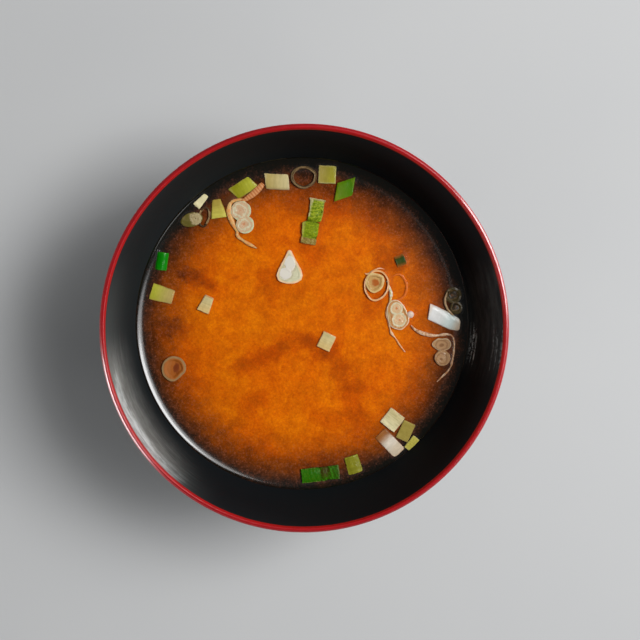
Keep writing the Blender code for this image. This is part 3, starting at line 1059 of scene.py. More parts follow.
# %% Two bits that have sunk
# Each has its place in mm, size, turn, tint and depth of the top under the surface.
SUNK = {
    "leaf_sunk_green": ((29.0, 18.9), (3.0, 3.4), 20, "green_sunk", -0.2),
    "leaf_sunk_tan": ((-21.4, 36.6), (4.4, 3.6), 60, "tan_sunk", -0.05),
}
SUNK_THICKNESS = 1.2
for node, ((x, y), size, turn, shade, depth) in SUNK.items():
    piece = chip(node, *size, thick=SUNK_THICKNESS, seed=len(node))
    piece.location = (x * MM, y * MM, SOUP_LEVEL - (depth + SUNK_THICKNESS / 2) * MM)
    piece.rotation_euler.z = math.radians(turn)
    bpy.ops.object.transform_apply(location=True, rotation=True, scale=True)
    leaf_finish(piece, turn, size, shade, shade, rim=shade)
    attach(piece, "root")
print("sunk bits:", len(SUNK))

# %% [markdown]
# ### Rings and slices of the stem
#
# Cut across, the hollow part of the onion gives a ring, and the solid part gives a slice: an outer sheath
# round one to three hearts, most with finer sheaths inside. A ring starts as a short tube without ends and a
# slice as a short cylinder. Both are stretched to an oval and pulled out of round, and one slice is drawn
# out to a point. The ring then gets its wall, and the slice's top is inset, so that the sheath stands a
# little over the flesh. A heart's top is inset again and again, with a groove at each step, as its sheaths
# lie. The stem slice's hearts are flat: they are young, and their sheaths too tight to stand up.

# %% A stem's outline


def between(knots, place):
    """Values at a place between knots, each (place, value, ...)."""
    for near, far in zip(knots, knots[1:]):
        if place <= far[0]:
            share = (place - near[0]) / (far[0] - near[0])
            return [a + (b - a) * share for a, b in zip(near[1:], far[1:])]
    return knots[-1][1:]


def stem(name, half_length, half_width, height, pulls=(), sides=(), ends="NGON"):
    """Pulls are (degrees, distance outwards, reach) in millimetres.

    Sides are knots of (place along it, half width) that give another outline than an oval.
    """
    let_go()
    bpy.ops.mesh.primitive_cylinder_add(
        vertices=72,
        radius=1 * MM,
        depth=height * MM,
        location=(0, 0, -height / 2 * MM),
        end_fill_type=ends,
    )
    piece = named(name)
    bpy.ops.object.mode_set(mode="EDIT")
    bpy.ops.mesh.select_all(action="SELECT")
    bpy.ops.transform.resize(value=(half_length, half_width, 1), center_override=(0, 0, 0))
    for step in range(1, 36) if sides else ():
        along = -math.cos(math.radians(5 * step)) * half_length
        (wanted,) = between(sides, along)
        pick(piece, lambda spot: abs(spot.x - along) < 0.004)
        factor = wanted / (math.sin(math.radians(5 * step)) * half_width)
        bpy.ops.transform.resize(value=(1, factor, 1), center_override=(0, 0, 0))
    for degrees, distance, reach in pulls:
        outwards = Vector((math.cos(math.radians(degrees)), math.sin(math.radians(degrees)), 0))
        flat = Vector((1, 1, 0))
        pick(piece, lambda point: (point * flat).normalized().dot(outwards) > 0.996)
        bpy.ops.transform.translate(
            value=outwards * distance * MM,
            use_proportional_edit=True,
            proportional_edit_falloff="SMOOTH",
            proportional_size=reach * MM,
        )
    bpy.ops.object.mode_set(mode="OBJECT")
    return piece


def is_top(point, normal):
    return normal.z > 0.9 and point.z > -0.6


def mark_skin(piece, outline):
    """Marks what lies on an outline, so that the finish can draw a thin skin there."""
    skin = piece.data.attributes.new("skin", "FLOAT", "POINT")
    for vertex, mark in zip(piece.data.vertices, skin.data):
        gap = min((vertex.co.xy - spot).length for spot in outline)
        mark.value = 1.0 if gap < 0.12 * MM else 0.0


# %% A ring, a slice and a heart


def ring(name, half_length, half_width, wall, height=2.2, pulls=()):
    """A hollow stem cut across. Its wall has two skins, so a groove runs round its top."""
    piece = stem(name, half_length, half_width, height, pulls, ends="NOTHING")
    modify(piece, "SOLIDIFY", thickness=wall * MM, offset=-1, use_even_offset=True)
    pick(piece, is_top, "FACE")
    bpy.ops.mesh.inset(thickness=wall * 0.22 * MM)
    bpy.ops.mesh.inset(thickness=wall * 0.12 * MM, depth=-wall * 0.2 * MM)
    round_edges(piece, wall * 0.08)
    return piece


def slab(name, half_length, half_width, wall, height=2.2, pulls=(), sides=(), sink=0.15):
    """A solid stem cut across: a sheath round flesh that lies a little lower."""
    piece = stem(name, half_length, half_width, height, pulls, sides)
    outline = [vertex.co.xy.copy() for vertex in piece.data.vertices if vertex.co.z > -0.1 * MM]
    pick(piece, is_top, "FACE")
    even = not sides  # an even inset would overshoot at a pointed end
    bpy.ops.mesh.inset(thickness=wall * 0.6 * MM, depth=0.06 * MM, use_even_offset=even)
    bpy.ops.mesh.inset(thickness=wall * 0.4 * MM, depth=-sink * MM, use_even_offset=even)
    round_edges(piece, 0.1)
    mark_skin(piece, outline)
    return piece


def heart(name, radius, stretch=1.0, height=2.2, sheaths=3, hollow=0.3, lift=0.0, ridge=1.0):
    """A round core with so many sheaths round a hollow of a share of its radius.

    Ridge is how far the sheaths stand up.
    """
    let_go()
    bpy.ops.mesh.primitive_cylinder_add(
        vertices=44,
        radius=radius * MM,
        depth=height * MM,
        location=(0, 0, (lift - height / 2) * MM),
        scale=(stretch, 1, 1),
    )
    piece = named(name)
    pick(piece, lambda point, normal: normal.z > 0.9, "FACE")
    step = radius * (1 - hollow) / max(sheaths, 1)
    bpy.ops.mesh.inset(thickness=0.1 * MM, depth=0.06 * MM)
    for _ in range(sheaths):
        bpy.ops.mesh.inset(thickness=step * 0.46 * MM, depth=0.02 * ridge * MM)
        bpy.ops.mesh.inset(thickness=step * 0.24 * MM, depth=-0.07 * ridge * MM)
        bpy.ops.mesh.inset(thickness=step * 0.24 * MM, depth=0.05 * ridge * MM)
    if sheaths:
        bpy.ops.mesh.inset(thickness=0.12 * MM, depth=-0.12 * ridge * MM)
    round_edges(piece, 0.05)
    return piece


# %% [markdown]
# ### The finish of a slice
#
# The sheaths are pale with a thin skin between, so a slice shows rings of cream and grey-green round each
# heart, and the broth has soaked its middle orange. The rings are a wave on the distance from the nearest
# heart, bent a little by noise. A thin pale skin runs round some slices, drawn where their outline is marked.

# %% Slice finish


def slice_finish(
    piece, centre, turn, hearts, rim, flesh, line, core, outer=1.0, speckle=0.0, lines=2.6,
    line_amount=0.5, shine=0.2, core_size=0.3, core_edge=0.22, bend=0.5, gap=None, skin=None,
    rim_from=0.72,
):  # fmt: skip
    """Hearts are (x, y, radius, stretch) in the slice's own frame, in mm; lines counts rings in a radius.

    Gap is the tint between the hearts and the rim, and skin that of the very edge.
    """
    material, wire, place = new_paint(piece.name + "_finish")
    own = own_place(place, centre * MM, turn)
    x, y, z = parts_of(own)
    bending = noise(place, 1.1, 3, 0.6, seed=centre.x)
    fine = noise(place, 0.4, 3, 0.6, seed=centre.y)
    broad = noise(place, 2.0, 2, 0.5, seed=centre.y)
    nearest = None
    for spot_x, spot_y, radius, stretch in hearts:
        away = (((x - spot_x) / stretch) ** 2.0 + (y - spot_y) ** 2.0) ** 0.5 / radius
        nearest = away if nearest is None else x.math("MINIMUM", nearest, away)
    nearest = nearest + (bending - 0.5) * bend
    rings = x.math("SINE", nearest * (2 * math.pi * lines), 0.0) * 0.5 + 0.5
    colour = mix(smooth_step(rings, 0.3, 1.0) * line_amount, tint(flesh), tint(line))
    colour = mix(smooth_step(nearest, core_size, core_size - core_edge) * 0.9, colour, tint(core))
    if gap:
        colour = mix(smooth_step(nearest, 0.84, 0.98) * 0.8, colour, tint(gap))
    colour = mix(smooth_step(nearest, outer * rim_from, outer), colour, tint(rim))
    if not gap:
        colour = mix(smooth_step(broad, 0.45, 0.8) * 0.4, colour, tint(flesh))
    colour = mix(smooth_step(fine, 0.5, 0.8) * (0.15 + speckle), colour, tint(core))
    if skin:
        on_edge = place.node("ShaderNodeAttribute", {"attribute_name": "skin"}, output="Fac")
        colour = mix(smooth_step(on_edge + (broad - 0.5) * 0.8, 0.1, 0.6) * 0.85, colour, tint(skin))
    colour = under_broth(z, colour, murk_colour(centre.x, centre.y), 0.8)
    connect(
        material,
        Base_Color=colour,
        Roughness=0.4 + fine * 0.2,
        Specular_IOR_Level=0.1,
        Coat_Weight=shine,
        Coat_Roughness=0.12,
        Normal=bump(rings * 0.4 + fine * 0.6, 0.25, 0.05),
    )
    wear(piece, material)


def middle_of(node):
    low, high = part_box(node)
    return (low + high) / 2 / MM


# %% The slices, and what makes up each
SLICES = {
    # Parts are (maker, sizes, place along and across in mm). Hearts are what the finish draws rings round.
    "double_ring_far": dict(
        turn=-75,
        parts=(
            (heart, dict(radius=3.0, stretch=0.96, lift=-0.12, ridge=0.4, sheaths=2), (-2.1, -0.1)),
            (heart, dict(radius=2.65, ridge=0.5, sheaths=2), (2.1, 0)),
        ),
        hearts=((-2.1, -0.1, 3.0, 1.0), (2.1, 0, 2.65, 1.0)),
        finish=dict(
            rim="sheath_pale", flesh="flesh_rose", line="slice_green", core="core_rose",
            bend=1.1, lines=2.2, line_amount=0.9, speckle=0.1, core_size=0.36, core_edge=0.36, rim_from=0.8,
        ),
    ),
    "double_slice": dict(
        turn=-74,
        parts=(
            (
                slab,
                dict(half_length=4.6, half_width=3.0, wall=0.8, pulls=((50, 0.5, 2.6), (310, 0.4, 2.6))),
                (0, 0),
            ),
            (heart, dict(radius=1.9, lift=-0.05, height=2.0, ridge=0.4, sheaths=2), (-1.9, 0.1)),
            (heart, dict(radius=2.35, height=2.0, ridge=0.4, sheaths=2), (1.5, 0)),
        ),
        hearts=((-1.9, 0.1, 2.1, 1.0), (1.5, 0, 2.4, 1.0)),
        finish=dict(
            rim="sheath_green", flesh="slice_rose", line="slice_green", core="core_orange",
            outer=1.36, bend=0.7, lines=1.6, core_size=0.36, core_edge=0.3, gap="broth_gap",
            line_amount=0.8, skin="thread_pale",
        ),
    ),
    "double_ring_olive": dict(
        turn=-76,
        parts=(
            (slab, dict(half_length=2.45, half_width=2.4, wall=1.2, sink=0.4), (-1.8, 0)),
            (slab, dict(half_length=1.9, half_width=1.85, wall=1.0, sink=0.4, height=2.0), (2.0, 0)),
        ),
        hearts=((-1.8, 0, 2.4, 1.0), (2.0, 0, 1.9, 1.0)),
        finish=dict(
            rim="olive_skin", flesh="olive_dark", line="ring_brown", core="core_brown", speckle=0.2,
            outer=0.8, lines=2.0, shine=0.15, bend=1.2, line_amount=0.6,
        ),
    ),
    "double_ring_right": dict(
        turn=-90,
        parts=(
            (
                slab,
                dict(
                    half_length=2.0, half_width=2.65, wall=0.5, sink=0.06,
                    pulls=((270, 0.5, 1.6), (180, -0.3, 1.6)),
                ),
                (-2.1, 0.0),
            ),
            (heart, dict(radius=2.35, lift=0.12, sheaths=2, hollow=0.4, ridge=0.5), (2.0, 0)),
        ),
        hearts=((-2.1, 0.0, 2.5, 0.8), (2.0, 0, 2.35, 1.0)),
        finish=dict(
            rim="tan", flesh="tan", line="tan_dark", core="tan_dark", line_amount=0.6, lines=1.8,
            bend=0.5, skin="flesh_grey",
        ),
    ),
    "stem_slice": dict(
        turn=90,
        parts=(
            (
                slab,
                dict(
                    half_length=4.95, half_width=3.9, wall=1.3, sink=0.12,
                    sides=(
                        (-4.95, 0.6), (-4.6, 2.3), (-3.9, 3.4), (-2.4, 3.9), (-0.7, 3.3), (1.0, 2.4),
                        (2.7, 1.45), (4.4, 0.7), (4.85, 0.4), (4.95, 0.15),
                    ),
                ),
                (0, 0),
            ),
            (heart, dict(radius=1.6, stretch=1.45, sheaths=0, height=2.0), (1.0, -0.1)),
            (heart, dict(radius=1.75, sheaths=0, height=2.0), (-1.9, 1.2)),
            (heart, dict(radius=1.1, stretch=1.6, lift=-0.08, sheaths=0, height=2.0), (-1.3, -1.6)),
        ),
        hearts=((1.0, -0.1, 1.75, 1.4), (-1.9, 1.2, 1.9, 1.0)),
        finish=dict(
            rim="slice_green", flesh="stem_white", line="cold_white", core="stem_white",
            outer=1.3, rim_from=0.85, line_amount=0.4, lines=1.0, skin="skin_cream", bend=0.5,
            gap="sheath_line",
        ),
    ),
    "ring_left": dict(
        turn=84,
        parts=(
            (
                slab,
                dict(half_length=3.75, half_width=3.6, wall=1.5, sink=0.4, pulls=((225, -0.6, 2.8),)),
                (0, 0),
            ),
        ),
        hearts=((0.2, -0.8, 1.0, 1.8),),
        finish=dict(
            rim="ring_amber", flesh="flesh_tan", line="ring_amber", core="core_red", outer=2.2,
            shine=0.05, core_size=1.2, core_edge=0.6, bend=1.2, skin="ring_brown", lines=0.6,
        ),
    ),
    "ring_heart": dict(
        turn=80,
        nudge=(-0.3, 0.3, 0.05),
        parts=(
            (
                slab,
                dict(
                    half_length=2.8, half_width=2.75, wall=1.3, sink=0.3,
                    pulls=((40, 0.35, 1.8), (-45, 0.35, 1.8), (180, 0.3, 1.8)),
                ),
                (0, 0),
            ),
        ),
        hearts=((0, -0.15, 2.9, 1.0),),
        finish=dict(
            rim="heart_flesh", flesh="heart_flesh", line="heart_line", core="core_deep", lines=1.4,
            core_size=0.5, bend=0.6, skin="cream_warm",
        ),
    ),
    "ring_skin": dict(
        turn=80,
        parts=((ring, dict(half_length=4.5, half_width=3.75, wall=0.5, pulls=((180, 0.3, 2.4),)), (0, 0)),),
        hearts=((0, 0, 4.2, 1.0),),
        finish=dict(
            rim="thread_peach", flesh="thread_pale", line="thread_peach", core="peach_light", speckle=0.2,
        ),
    ),
    "ring_far": dict(
        turn=0,
        parts=(
            (
                ring,
                dict(half_length=3.85, half_width=3.2, wall=0.85, pulls=((270, 0.3, 2.4), (20, 0.2, 1.5))),
                (0, 0),
            ),
        ),
        hearts=((0, 0, 3.6, 1.0),),
        finish=dict(
            rim="ring_grey", flesh="ring_dark", line="ring_brown", core="ring_dark", outer=1.1,
            shine=0.05, speckle=0.2, line_amount=0.7,
        ),
    ),
    "ring_small_left": dict(
        turn=76,
        nudge=(0.2, -0.2, -0.15),
        parts=((ring, dict(half_length=3.0, half_width=1.75, wall=0.55, pulls=((200, 0.3, 1.2),)), (0, 0)),),
        hearts=((0, 0, 2.6, 1.0),),
        finish=dict(
            rim="ring_dark", flesh="ring_brown", line="ring_dark", core="core_brown", speckle=0.5,
            shine=0.05, bend=1.2,
        ),
    ),
    "curl_left": dict(
        turn=14,
        nudge=(0.4, 0, 0),
        parts=(
            (
                slab,
                dict(half_length=3.2, half_width=2.05, wall=0.6, sink=0.05, pulls=((180, 0.2, 1.8),)),
                (0, 0),
            ),
            (heart, dict(radius=1.65, lift=0.1, height=2.0, ridge=0.5, sheaths=2), (1.3, 0)),
        ),
        hearts=((1.3, 0, 1.75, 1.0),),
        finish=dict(
            rim="olive_pale", flesh="curl_flesh", line="sheath_white", core="ring_grey", speckle=0.7,
            line_amount=0.25, outer=1.15, bend=1.4, lines=1.6, core_size=0.1, shine=0.05, rim_from=0.85,
        ),
    ),
}  # fmt: skip

# %% Make the slices
for node, spec in SLICES.items():
    turn, nudge = spec["turn"], spec.get("nudge", (0, 0, 0))
    pieces = []
    for maker, sizes, (along, side) in spec["parts"]:
        part = maker("part", **sizes)
        part.location += Vector((along, side, 0)) * MM
        pieces.append(part)
    piece = join(pieces, "cut_" + node)
    bpy.ops.object.transform_apply(location=True, rotation=True, scale=True)
    lay(piece, node, turn, nudge=nudge)
    roughen(piece, 1.6, 0.25)
    slice_finish(piece, middle_of(node) + Vector(nudge), turn, spec["hearts"], **spec["finish"])
    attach(piece, "root")
    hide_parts(node)
print("slices:", len(SLICES))

# %% A pale bead by one slice, whose pale colour is a painted glint
let_go()
bpy.ops.mesh.primitive_uv_sphere_add(segments=24, ring_count=14, radius=1.05 * MM, scale=(1, 1, 0.7))
bead = named("cut_bead")
bead.location = (32.0 * MM, 2.9 * MM, SOUP_LEVEL + 0.15 * MM)
bpy.ops.object.transform_apply(location=True, rotation=True, scale=True)
roughen(bead, 0.6, 0.2)
leaf_finish(bead, 0, (2.0, 2.0), "glint_white", "glint_white", rim="glint_white", shine=0.6)
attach(bead, "root")
print("bead:", len(bead.data.polygons), "faces")

# %% [markdown]
# ### Strands of skin
#
# The onion's outermost skin comes off in threads, and some trail from the slices. A thread is a curve with a
# flattened round section, thicker and thinner along the way, made a mesh at the end. The broadest one is
# ribbed: stripes of two tints cross it and raise its relief.

# %% A strand


def strand(
    name, knots, girth, tint_name, pale="strand_white", lift=0.25, flat=0.7, node=None, knobs=0.25, ribs=None
):
    """Knots are (x, y, share of the girth) in millimetres on the soup's surface.

    Pale is the tint of its cloudy lengths. Ribs are (degrees of its run, spacing in mm).
    """
    let_go()
    bpy.ops.curve.primitive_bezier_curve_add()
    piece = named(name)
    curve = piece.data
    curve.splines[0].bezier_points.add(len(knots) - 2)
    chance = random.Random(name)
    for point, (x, y, share) in zip(curve.splines[0].bezier_points, knots):
        point.co = (x * MM, y * MM, 0)
        point.radius = share * chance.uniform(1 - knobs, 1 + knobs)
        point.handle_left_type = point.handle_right_type = "AUTO"
    curve.dimensions = "3D"
    curve.bevel_depth = girth / 2 * MM
    curve.bevel_resolution = 3
    curve.resolution_u = 10
    curve.use_fill_caps = True
    bpy.ops.object.convert(target="MESH")
    piece = named(name)
    piece.scale.z = flat
    piece.location.z = SOUP_LEVEL + (lift - girth / 2 * flat) * MM
    bpy.ops.object.transform_apply(location=True, rotation=True, scale=True)
    roughen(piece, 0.8, 0.16)
    material, wire, place = new_paint(name + "_finish")
    cloudy = noise(place, 0.7, 3, 0.65, seed=knots[0][0])
    x, y, z = parts_of(place)
    patches = smooth_step(cloudy, 0.4, 0.65)
    if ribs:
        cosine, sine = math.cos(math.radians(ribs[0])), math.sin(math.radians(ribs[0]))
        along = (x * cosine + y * sine + cloudy * 0.3) * (2 * math.pi / ribs[1])
        patches = x.math("SINE", along, 0.0) * 0.45 + 0.5
    colour = mix(patches, tint(tint_name), tint(pale))
    colour = under_broth(z, colour, murk_colour(*knots[0][:2]), 0.6)
    connect(
        material,
        Base_Color=colour,
        Roughness=0.4,
        Specular_IOR_Level=0.1,
        Coat_Weight=0.12,
        Coat_Roughness=0.12,
        Normal=bump(patches, 0.4, 0.08),
    )
    wear(piece, material)
    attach(piece, "root")
    if node:
        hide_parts(node)


# %% All the strands
strand(
    "strand_long",
    (
        (32.3, -0.4, 0.6), (33.4, -1.6, 1.5), (34.8, -2.4, 1.8), (36.6, -3.0, 1.5), (38.5, -3.4, 1.6),
        (40.2, -3.4, 1.2), (41.8, -3.2, 1.3), (43.4, -3.1, 0.9), (44.6, -3.7, 0.8), (45.1, -5.0, 1.1),
        (45.2, -6.6, 0.7), (45.0, -8.4, 1.1), (44.8, -10.0, 0.7), (44.5, -11.6, 1.2), (44.1, -12.9, 0.8),
        (43.2, -14.2, 1.2), (42.0, -15.4, 0.7), (40.0, -17.3, 0.4),
    ),
    0.68, "thread", lift=0.35, node="skin_strand", pale="thread_pale", knobs=0.4,
)  # fmt: skip
strand(
    "strand_far_slice",
    (
        (-17.4, 36.9, 0.6), (-19.4, 36.8, 1.1), (-21.2, 35.9, 1.3), (-21.7, 33.9, 1.5), (-21.3, 31.5, 1.4),
        (-20.3, 29.3, 1.5), (-19.4, 27.7, 1.0), (-19.2, 26.2, 1.2), (-17.8, 25.0, 1.0), (-15.8, 23.8, 0.9),
        (-13.6, 22.6, 0.4),
    ),
    1.0, "peach_light", pale="cream_warm", lift=0.15, flat=0.4,
)  # fmt: skip
strand(
    "strand_ribbed",
    (
        (-18.6, 36.2, 0.4), (-17.4, 36.7, 0.8), (-16.1, 37.5, 1.1), (-14.7, 38.5, 1.3), (-13.4, 39.7, 1.35),
        (-12.3, 40.9, 1.2), (-11.7, 41.6, 0.9),
    ),
    1.5, "rib_dark", pale="rib_light", lift=0.25, flat=0.3, knobs=0.02, ribs=(40, 0.85),
)  # fmt: skip
strand(
    "strand_slice_tail",
    (
        (25.4, 6.2, 0.5), (24.9, 3.4, 1.1), (25.4, 0.8, 1.0), (26.0, -1.4, 0.9), (26.4, -2.7, 2.2),
        (27.6, -4.2, 0.8), (29.0, -6.4, 0.7), (30.5, -8.3, 0.4),
    ),
    0.55, "thread_peach", pale="thread_pale", lift=0.15,
)  # fmt: skip
strand(
    "strand_ring_top",
    ((18.4, 15.2, 0.4), (19.2, 14.9, 1.2), (21.0, 15.9, 1.0), (22.6, 16.6, 0.9), (24.2, 16.4, 0.3)),
    0.5, "thread_peach", pale="thread_pale", lift=0.2,
)  # fmt: skip
strand(
    "strand_link",
    ((24.9, 12.9, 0.5), (25.8, 10.8, 1.2), (26.2, 8.8, 1.7), (25.9, 6.8, 0.8), (25.4, 5.4, 0.4)),
    0.6, "cream_warm", pale="white", lift=0.3,
)  # fmt: skip
strand(
    "strand_faint_ring",
    (
        (26.6, 14.2, 0.3), (28.6, 14.8, 0.8), (30.4, 13.0, 1.0), (30.9, 10.4, 1.0), (29.8, 8.0, 0.8),
        (27.6, 7.0, 0.4),
    ),
    1.0, "broth_light", pale="broth_light", lift=-0.02, flat=0.35,
)  # fmt: skip
strand(
    "strand_olive_ring",
    ((42.9, 9.4, 0.5), (42.3, 7.2, 1.3), (42.8, 5.0, 1.0), (44.0, 3.4, 1.0), (44.9, 2.6, 0.5)),
    0.55, "strand_white", lift=0.6,
)  # fmt: skip

# %% [markdown]
# ### The folded leaves
#
# Two longer bits of green leaf have buckled. Their lengths are puffed and rippled with creases between, and
# at one end of the longer bit the clear inner skin shows. Each starts as a cube cut into columns. By chance
# the columns go up or down a little for the ripple, and they are pressed flat at the creases.

# %% A folded leaf


def folded_leaf(name, length, width, thick, creases, outline, seed=0, columns=34, rows=8):
    """Creases are (share of the length from the middle, narrowing).

    The outline is knots of (share, width factor, slide to the side, ripple), slide and ripple in mm.
    """
    let_go()
    bpy.ops.mesh.primitive_cube_add(size=1, scale=(length * MM, width * MM, thick * MM))
    piece = named(name)
    bpy.ops.object.mode_set(mode="EDIT")
    for number in range(1, columns):
        bpy.ops.mesh.select_all(action="SELECT")
        place = (number / columns - 0.5) * length * MM
        bpy.ops.mesh.bisect(plane_co=(place, 0, 0), plane_no=(1, 0, 0))
    for number in range(1, rows):
        bpy.ops.mesh.select_all(action="SELECT")
        place = (number / rows - 0.5) * width * MM
        bpy.ops.mesh.bisect(plane_co=(0, place, 0), plane_no=(0, 1, 0))
    chance = random.Random(seed)
    folds = [(step / 11 - 0.5, chance.uniform(-0.7, 0.7), chance.uniform(-0.3, 0.3)) for step in range(12)]
    for number in range(columns + 1):
        place = number / columns - 0.5
        column = place * length
        wide, slide, ripple = between(outline, place)
        up, aside = between(folds, place)
        low = 1.0
        for where, depth in creases:
            low -= depth * math.exp(-(((place - where) * length / 0.4) ** 2))
        pick(piece, lambda point: abs(point.x - column) < 0.01)
        narrow = wide * (1 - (1 - low) * 0.12)
        bpy.ops.transform.resize(value=(1, narrow, max(low, 0.2)), center_override=(0, 0, 0))
        rise = ripple * (up + chance.uniform(-0.2, 0.2))
        swing = slide + aside * ripple
        bpy.ops.transform.translate(value=(0, swing * MM, rise * MM))
    for number in range(rows + 1):
        place = 2 * number / rows - 1
        row = place * width / 2
        pick(piece, lambda point: point.z > 0.1 and abs(point.y - row) < width / 18)
        bpy.ops.transform.translate(value=(0, 0, -0.4 * place**2 * MM))
    bpy.ops.object.mode_set(mode="OBJECT")
    round_edges(piece, 0.15)
    smooth_out(piece)
    return piece


# %% A folded leaf's finish


def folded_finish(piece, turn, length, width, near, far, lit, glassy, pale_from, dark_end, sunk):
    """Near, far and lit are tints: two along it and one for the painted highlights on its specks and wrinkles.

    Glassy is where the clear inner skin starts, from the middle.
    From pale_from on, the left edge shows the pale inner side. dark_end is how dark the far end is.
    Sunk is a stretch that lies under the broth: its middle, half length and amount.
    """
    material, wire, place = new_paint(piece.name + "_finish")
    box = [Vector(corner) for corner in piece.bound_box]
    centre = sum(box, Vector()) / 8
    own = own_place(place, centre, turn)
    x, y, z = parts_of(own)
    cells = noise(own, 0.5, 3, 0.65, seed=3)
    broad = noise(own, 2.4, 2, 0.5, seed=5)
    curly = noise(own, 0.9, 3, 0.6, distortion=1.2, seed=8)
    colour = mix(smooth_step(x + (broad - 0.5) * 4, -length / 2, length / 2), tint(near), tint(far))
    # Painted light and shade on the crumple: hollows and wrinkle grooves are painted dark, their tops bright.
    colour = mix(smooth_step(cells, 0.35, 0.6) * 0.6, colour, tint("leaf_shade"))
    colour = mix(smooth_step(cells, 0.56, 0.72) * 0.5, colour, tint(lit))
    wrinkles = x.math("SINE", x * (2 * math.pi / 1.15) + curly * 16 + y * 1.6, 0.0) * 0.5 + 0.5
    folds = smooth_step(x, -0.5, 0.8) * 0.4 + 0.12
    colour = mix(smooth_step(wrinkles, 0.4, 0.95) * folds, colour, tint(lit))
    colour = mix(smooth_step(wrinkles, 0.4, 0.0) * folds, colour, tint("leaf_shade"))
    inner = smooth_step(y + (curly - 0.5) * 3.2, width * 0.2, width * 0.36)
    inner = inner * smooth_step(x, pale_from, pale_from + 1)
    colour = mix(inner * 0.75, colour, tint("cream"))
    edge = smooth_step(y.math("ABSOLUTE", y, 0.0) + (cells - 0.5) * 0.6, width * 0.44, width * 0.52)
    colour = mix(edge * 0.35, colour, tint("cream_dim"))
    colour = mix(smooth_step(x, length * 0.1, length * 0.5) * dark_end, colour, tint("green_dark"))
    off = x.math("ABSOLUTE", x - sunk[0] + (broad - 0.5) * 2, 0.0) / sunk[1]
    murk = murk_colour(centre.x / MM, centre.y / MM)
    under = smooth_step(off, 1.0, 0.4) * smooth_step(y, -width * 0.5, width * 0.1)
    colour = mix(under * sunk[2], colour, murk)
    # Its low parts, in the creases, are painted dark green: painted shade.
    level = SOUP_LEVEL / MM
    colour = mix(smooth_step(z, level + 0.45, level + 0.05), colour, tint("green_dark"))
    pale_end = smooth_step(x + (curly - 0.5) * 0.8, length * 0.44, length * 0.48)
    colour = mix(pale_end * (0.5 - dark_end), colour, tint("flesh_grey"))
    clear = smooth_step(x + (curly - 0.5) * 0.6, glassy, glassy - 0.3)
    inner_skin = mix(smooth_step(cells, 0.4, 0.7), tint("glassy"), tint("cream_dim"))
    colour = mix(clear * 0.85, colour, inner_skin)
    colour = under_broth(z, colour, murk, 0.5)
    connect(
        material,
        Base_Color=colour,
        Roughness=0.6,
        Specular_IOR_Level=0.05,
        Coat_Weight=0.05,
        Coat_Roughness=0.2,
        Normal=bump(cells * 0.6 + wrinkles * 0.4, 0.6, 0.12),
    )
    wear(piece, material)


# %% Both folded leaves
FOLDED = {
    "leaf_fold": dict(
        size=(13.6, 4.5, 1.6), turn=80, creases=((-0.34, 0.6), (-0.01, 0.7), (0.42, 0.3)),
        outline=(
            (-0.5, 1.0, 0.25, 0.05), (-0.34, 1.05, 0.3, 0.1), (-0.05, 1.12, 0.5, 0.08),
            (0.02, 0.9, -0.3, 0.2), (0.3, 0.92, -0.45, 0.35), (0.42, 0.95, -0.35, 0.3),
            (0.5, 1.1, -0.25, 0.1),
        ),
        near="leaf_light", far="leaf_light", lit="lime_bright", glassy=-4.9, pale_from=0.8, dark_end=0.0,
        sunk=(0, 1.0, 0.0),
    ),
    "chip_green_near": dict(
        size=(11.4, 4.3, 1.8), turn=6, creases=((0.0, 0.3), (0.2, 0.25)),
        outline=(
            (-0.5, 1.0, 0.0, 0.12), (0.0, 1.02, -0.1, 0.2), (0.2, 0.95, 0.05, 0.12), (0.5, 1.0, 0.05, 0.08),
        ),
        near="green_mid", far="green_deep", lit="green_lit", glassy=-9.0, pale_from=9.0, dark_end=0.4,
        sunk=(1.3, 1.7, 0.75),
    ),
}  # fmt: skip
for node, spec in FOLDED.items():
    piece = folded_leaf("folded_" + node, *spec["size"], spec["creases"], spec["outline"], seed=len(node))
    lay(piece, node, spec["turn"])
    roughen(piece, 0.9, 0.22)
    length, width, thick = spec["size"]
    looks = [spec[key] for key in ("near", "far", "lit", "glassy", "pale_from", "dark_end", "sunk")]
    folded_finish(piece, spec["turn"], length, width, *looks)
    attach(piece, "root")
    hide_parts(node)
print("folded leaves:", len(FOLDED))

# %% [markdown]
# ## The clear broth
#
# The last piece is the thin layer of clear broth over the cloud. Water climbs whatever it wets, so it rises
# at the bowl's wall and, less, round each bit of onion. It is a disc cut fine. A proximity weight marks what
# lies near the onion, and a displacement lifts it there. At the wall the rise is part of the turned section,
# the same curve that the soup's body follows. Its finish lets light through and mirrors a part of it, more
# at a flat angle than from above.

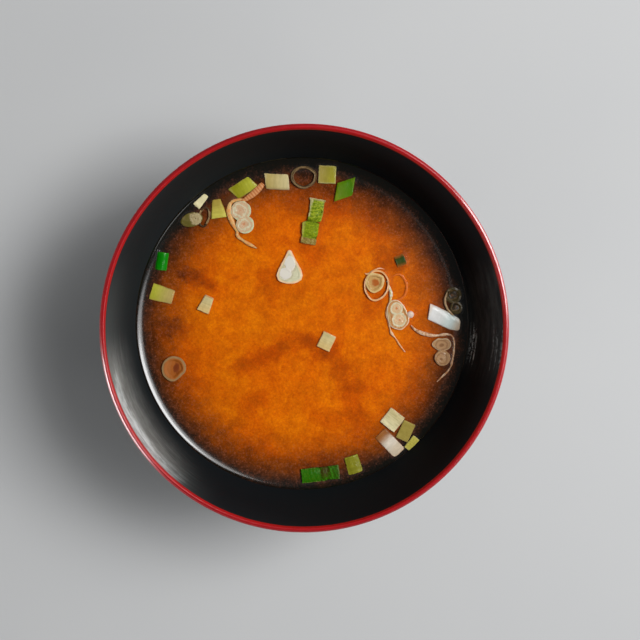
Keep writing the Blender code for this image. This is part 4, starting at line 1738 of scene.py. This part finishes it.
# %% A fine disc of broth
FILM_DEPTH = 1.5 * MM
FLAT_RINGS = 70
film_floor = SOUP_LEVEL - FILM_DEPTH
section = [(0, film_floor), (inner_radius(film_floor) + WALL_BITE, film_floor)]
section.append((CONTACT_RADIUS + WALL_BITE, CONTACT_HEIGHT))
section += surface
section += [(FLAT_EDGE * (1 - step / FLAT_RINGS), SOUP_LEVEL) for step in range(1, FLAT_RINGS + 1)]
broth = turned("clear_broth", section, steps=FINE_STEPS)
print("clear broth:", len(broth.data.polygons), "faces")

# %% Its climb round the onion
SHORE_CLIMB = 0.07 * MM
SHORE_REACH = 1.4 * MM
floating = [piece for piece in bpy.data.objects if piece.name.startswith(("leaf_", "cut_", "folded_"))]
copies = []
for piece in floating:
    twin = piece.copy()
    twin.data = piece.data.copy()
    bpy.context.scene.collection.objects.link(twin)
    copies.append(twin)
shore = join(copies, "shore")
near_onion = broth.vertex_groups.new(name="near_onion")
flat_part = [vertex.index for vertex in broth.data.vertices if vertex.co.z > SOUP_LEVEL - 0.01 * MM]
near_onion.add(flat_part, 1.0, "REPLACE")
modify(
    broth,
    "VERTEX_WEIGHT_PROXIMITY",
    vertex_group="near_onion",
    target=shore,
    proximity_mode="GEOMETRY",
    proximity_geometry={"FACE"},
    min_dist=SHORE_REACH,
    max_dist=0.0,
    falloff_type="SHARP",
)
modify(broth, "DISPLACE", vertex_group="near_onion", direction="Z", strength=SHORE_CLIMB, mid_level=0.0)
bpy.data.objects.remove(shore)
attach(broth, "root")
print("it climbs round", len(floating), "floating pieces")

# %% The clear finish
clear, wire, place = new_paint("clear_broth")
tree = clear.node_tree
tree.nodes.remove(tree.nodes["Principled BSDF"])
ripple = bump(noise(place, 20, 1, seed=2), 0.02, 0.3)
see_through = wire.node("ShaderNodeBsdfTransparent", inputs={"Color": (1.0, 1.0, 1.0, 1)})
shine = wire.node("ShaderNodeBsdfGlossy", inputs={"Roughness": 0.14, "Normal": ripple})
fresnel = wire.node("ShaderNodeFresnel", inputs={"IOR": 1.38, "Normal": ripple})
x, y, z = parts_of(place)
at_wall = smooth_step(z, SOUP_LEVEL / MM + 0.05, SOUP_LEVEL / MM + 0.3)
both = wire.node("ShaderNodeMixShader", inputs={0: fresnel * (1 + at_wall), 1: see_through, 2: shine})
tree.links.new(both.socket, tree.nodes["Material Output"].inputs["Surface"])
wear(broth, clear)
print("clear finish:", len(tree.nodes), "nodes")
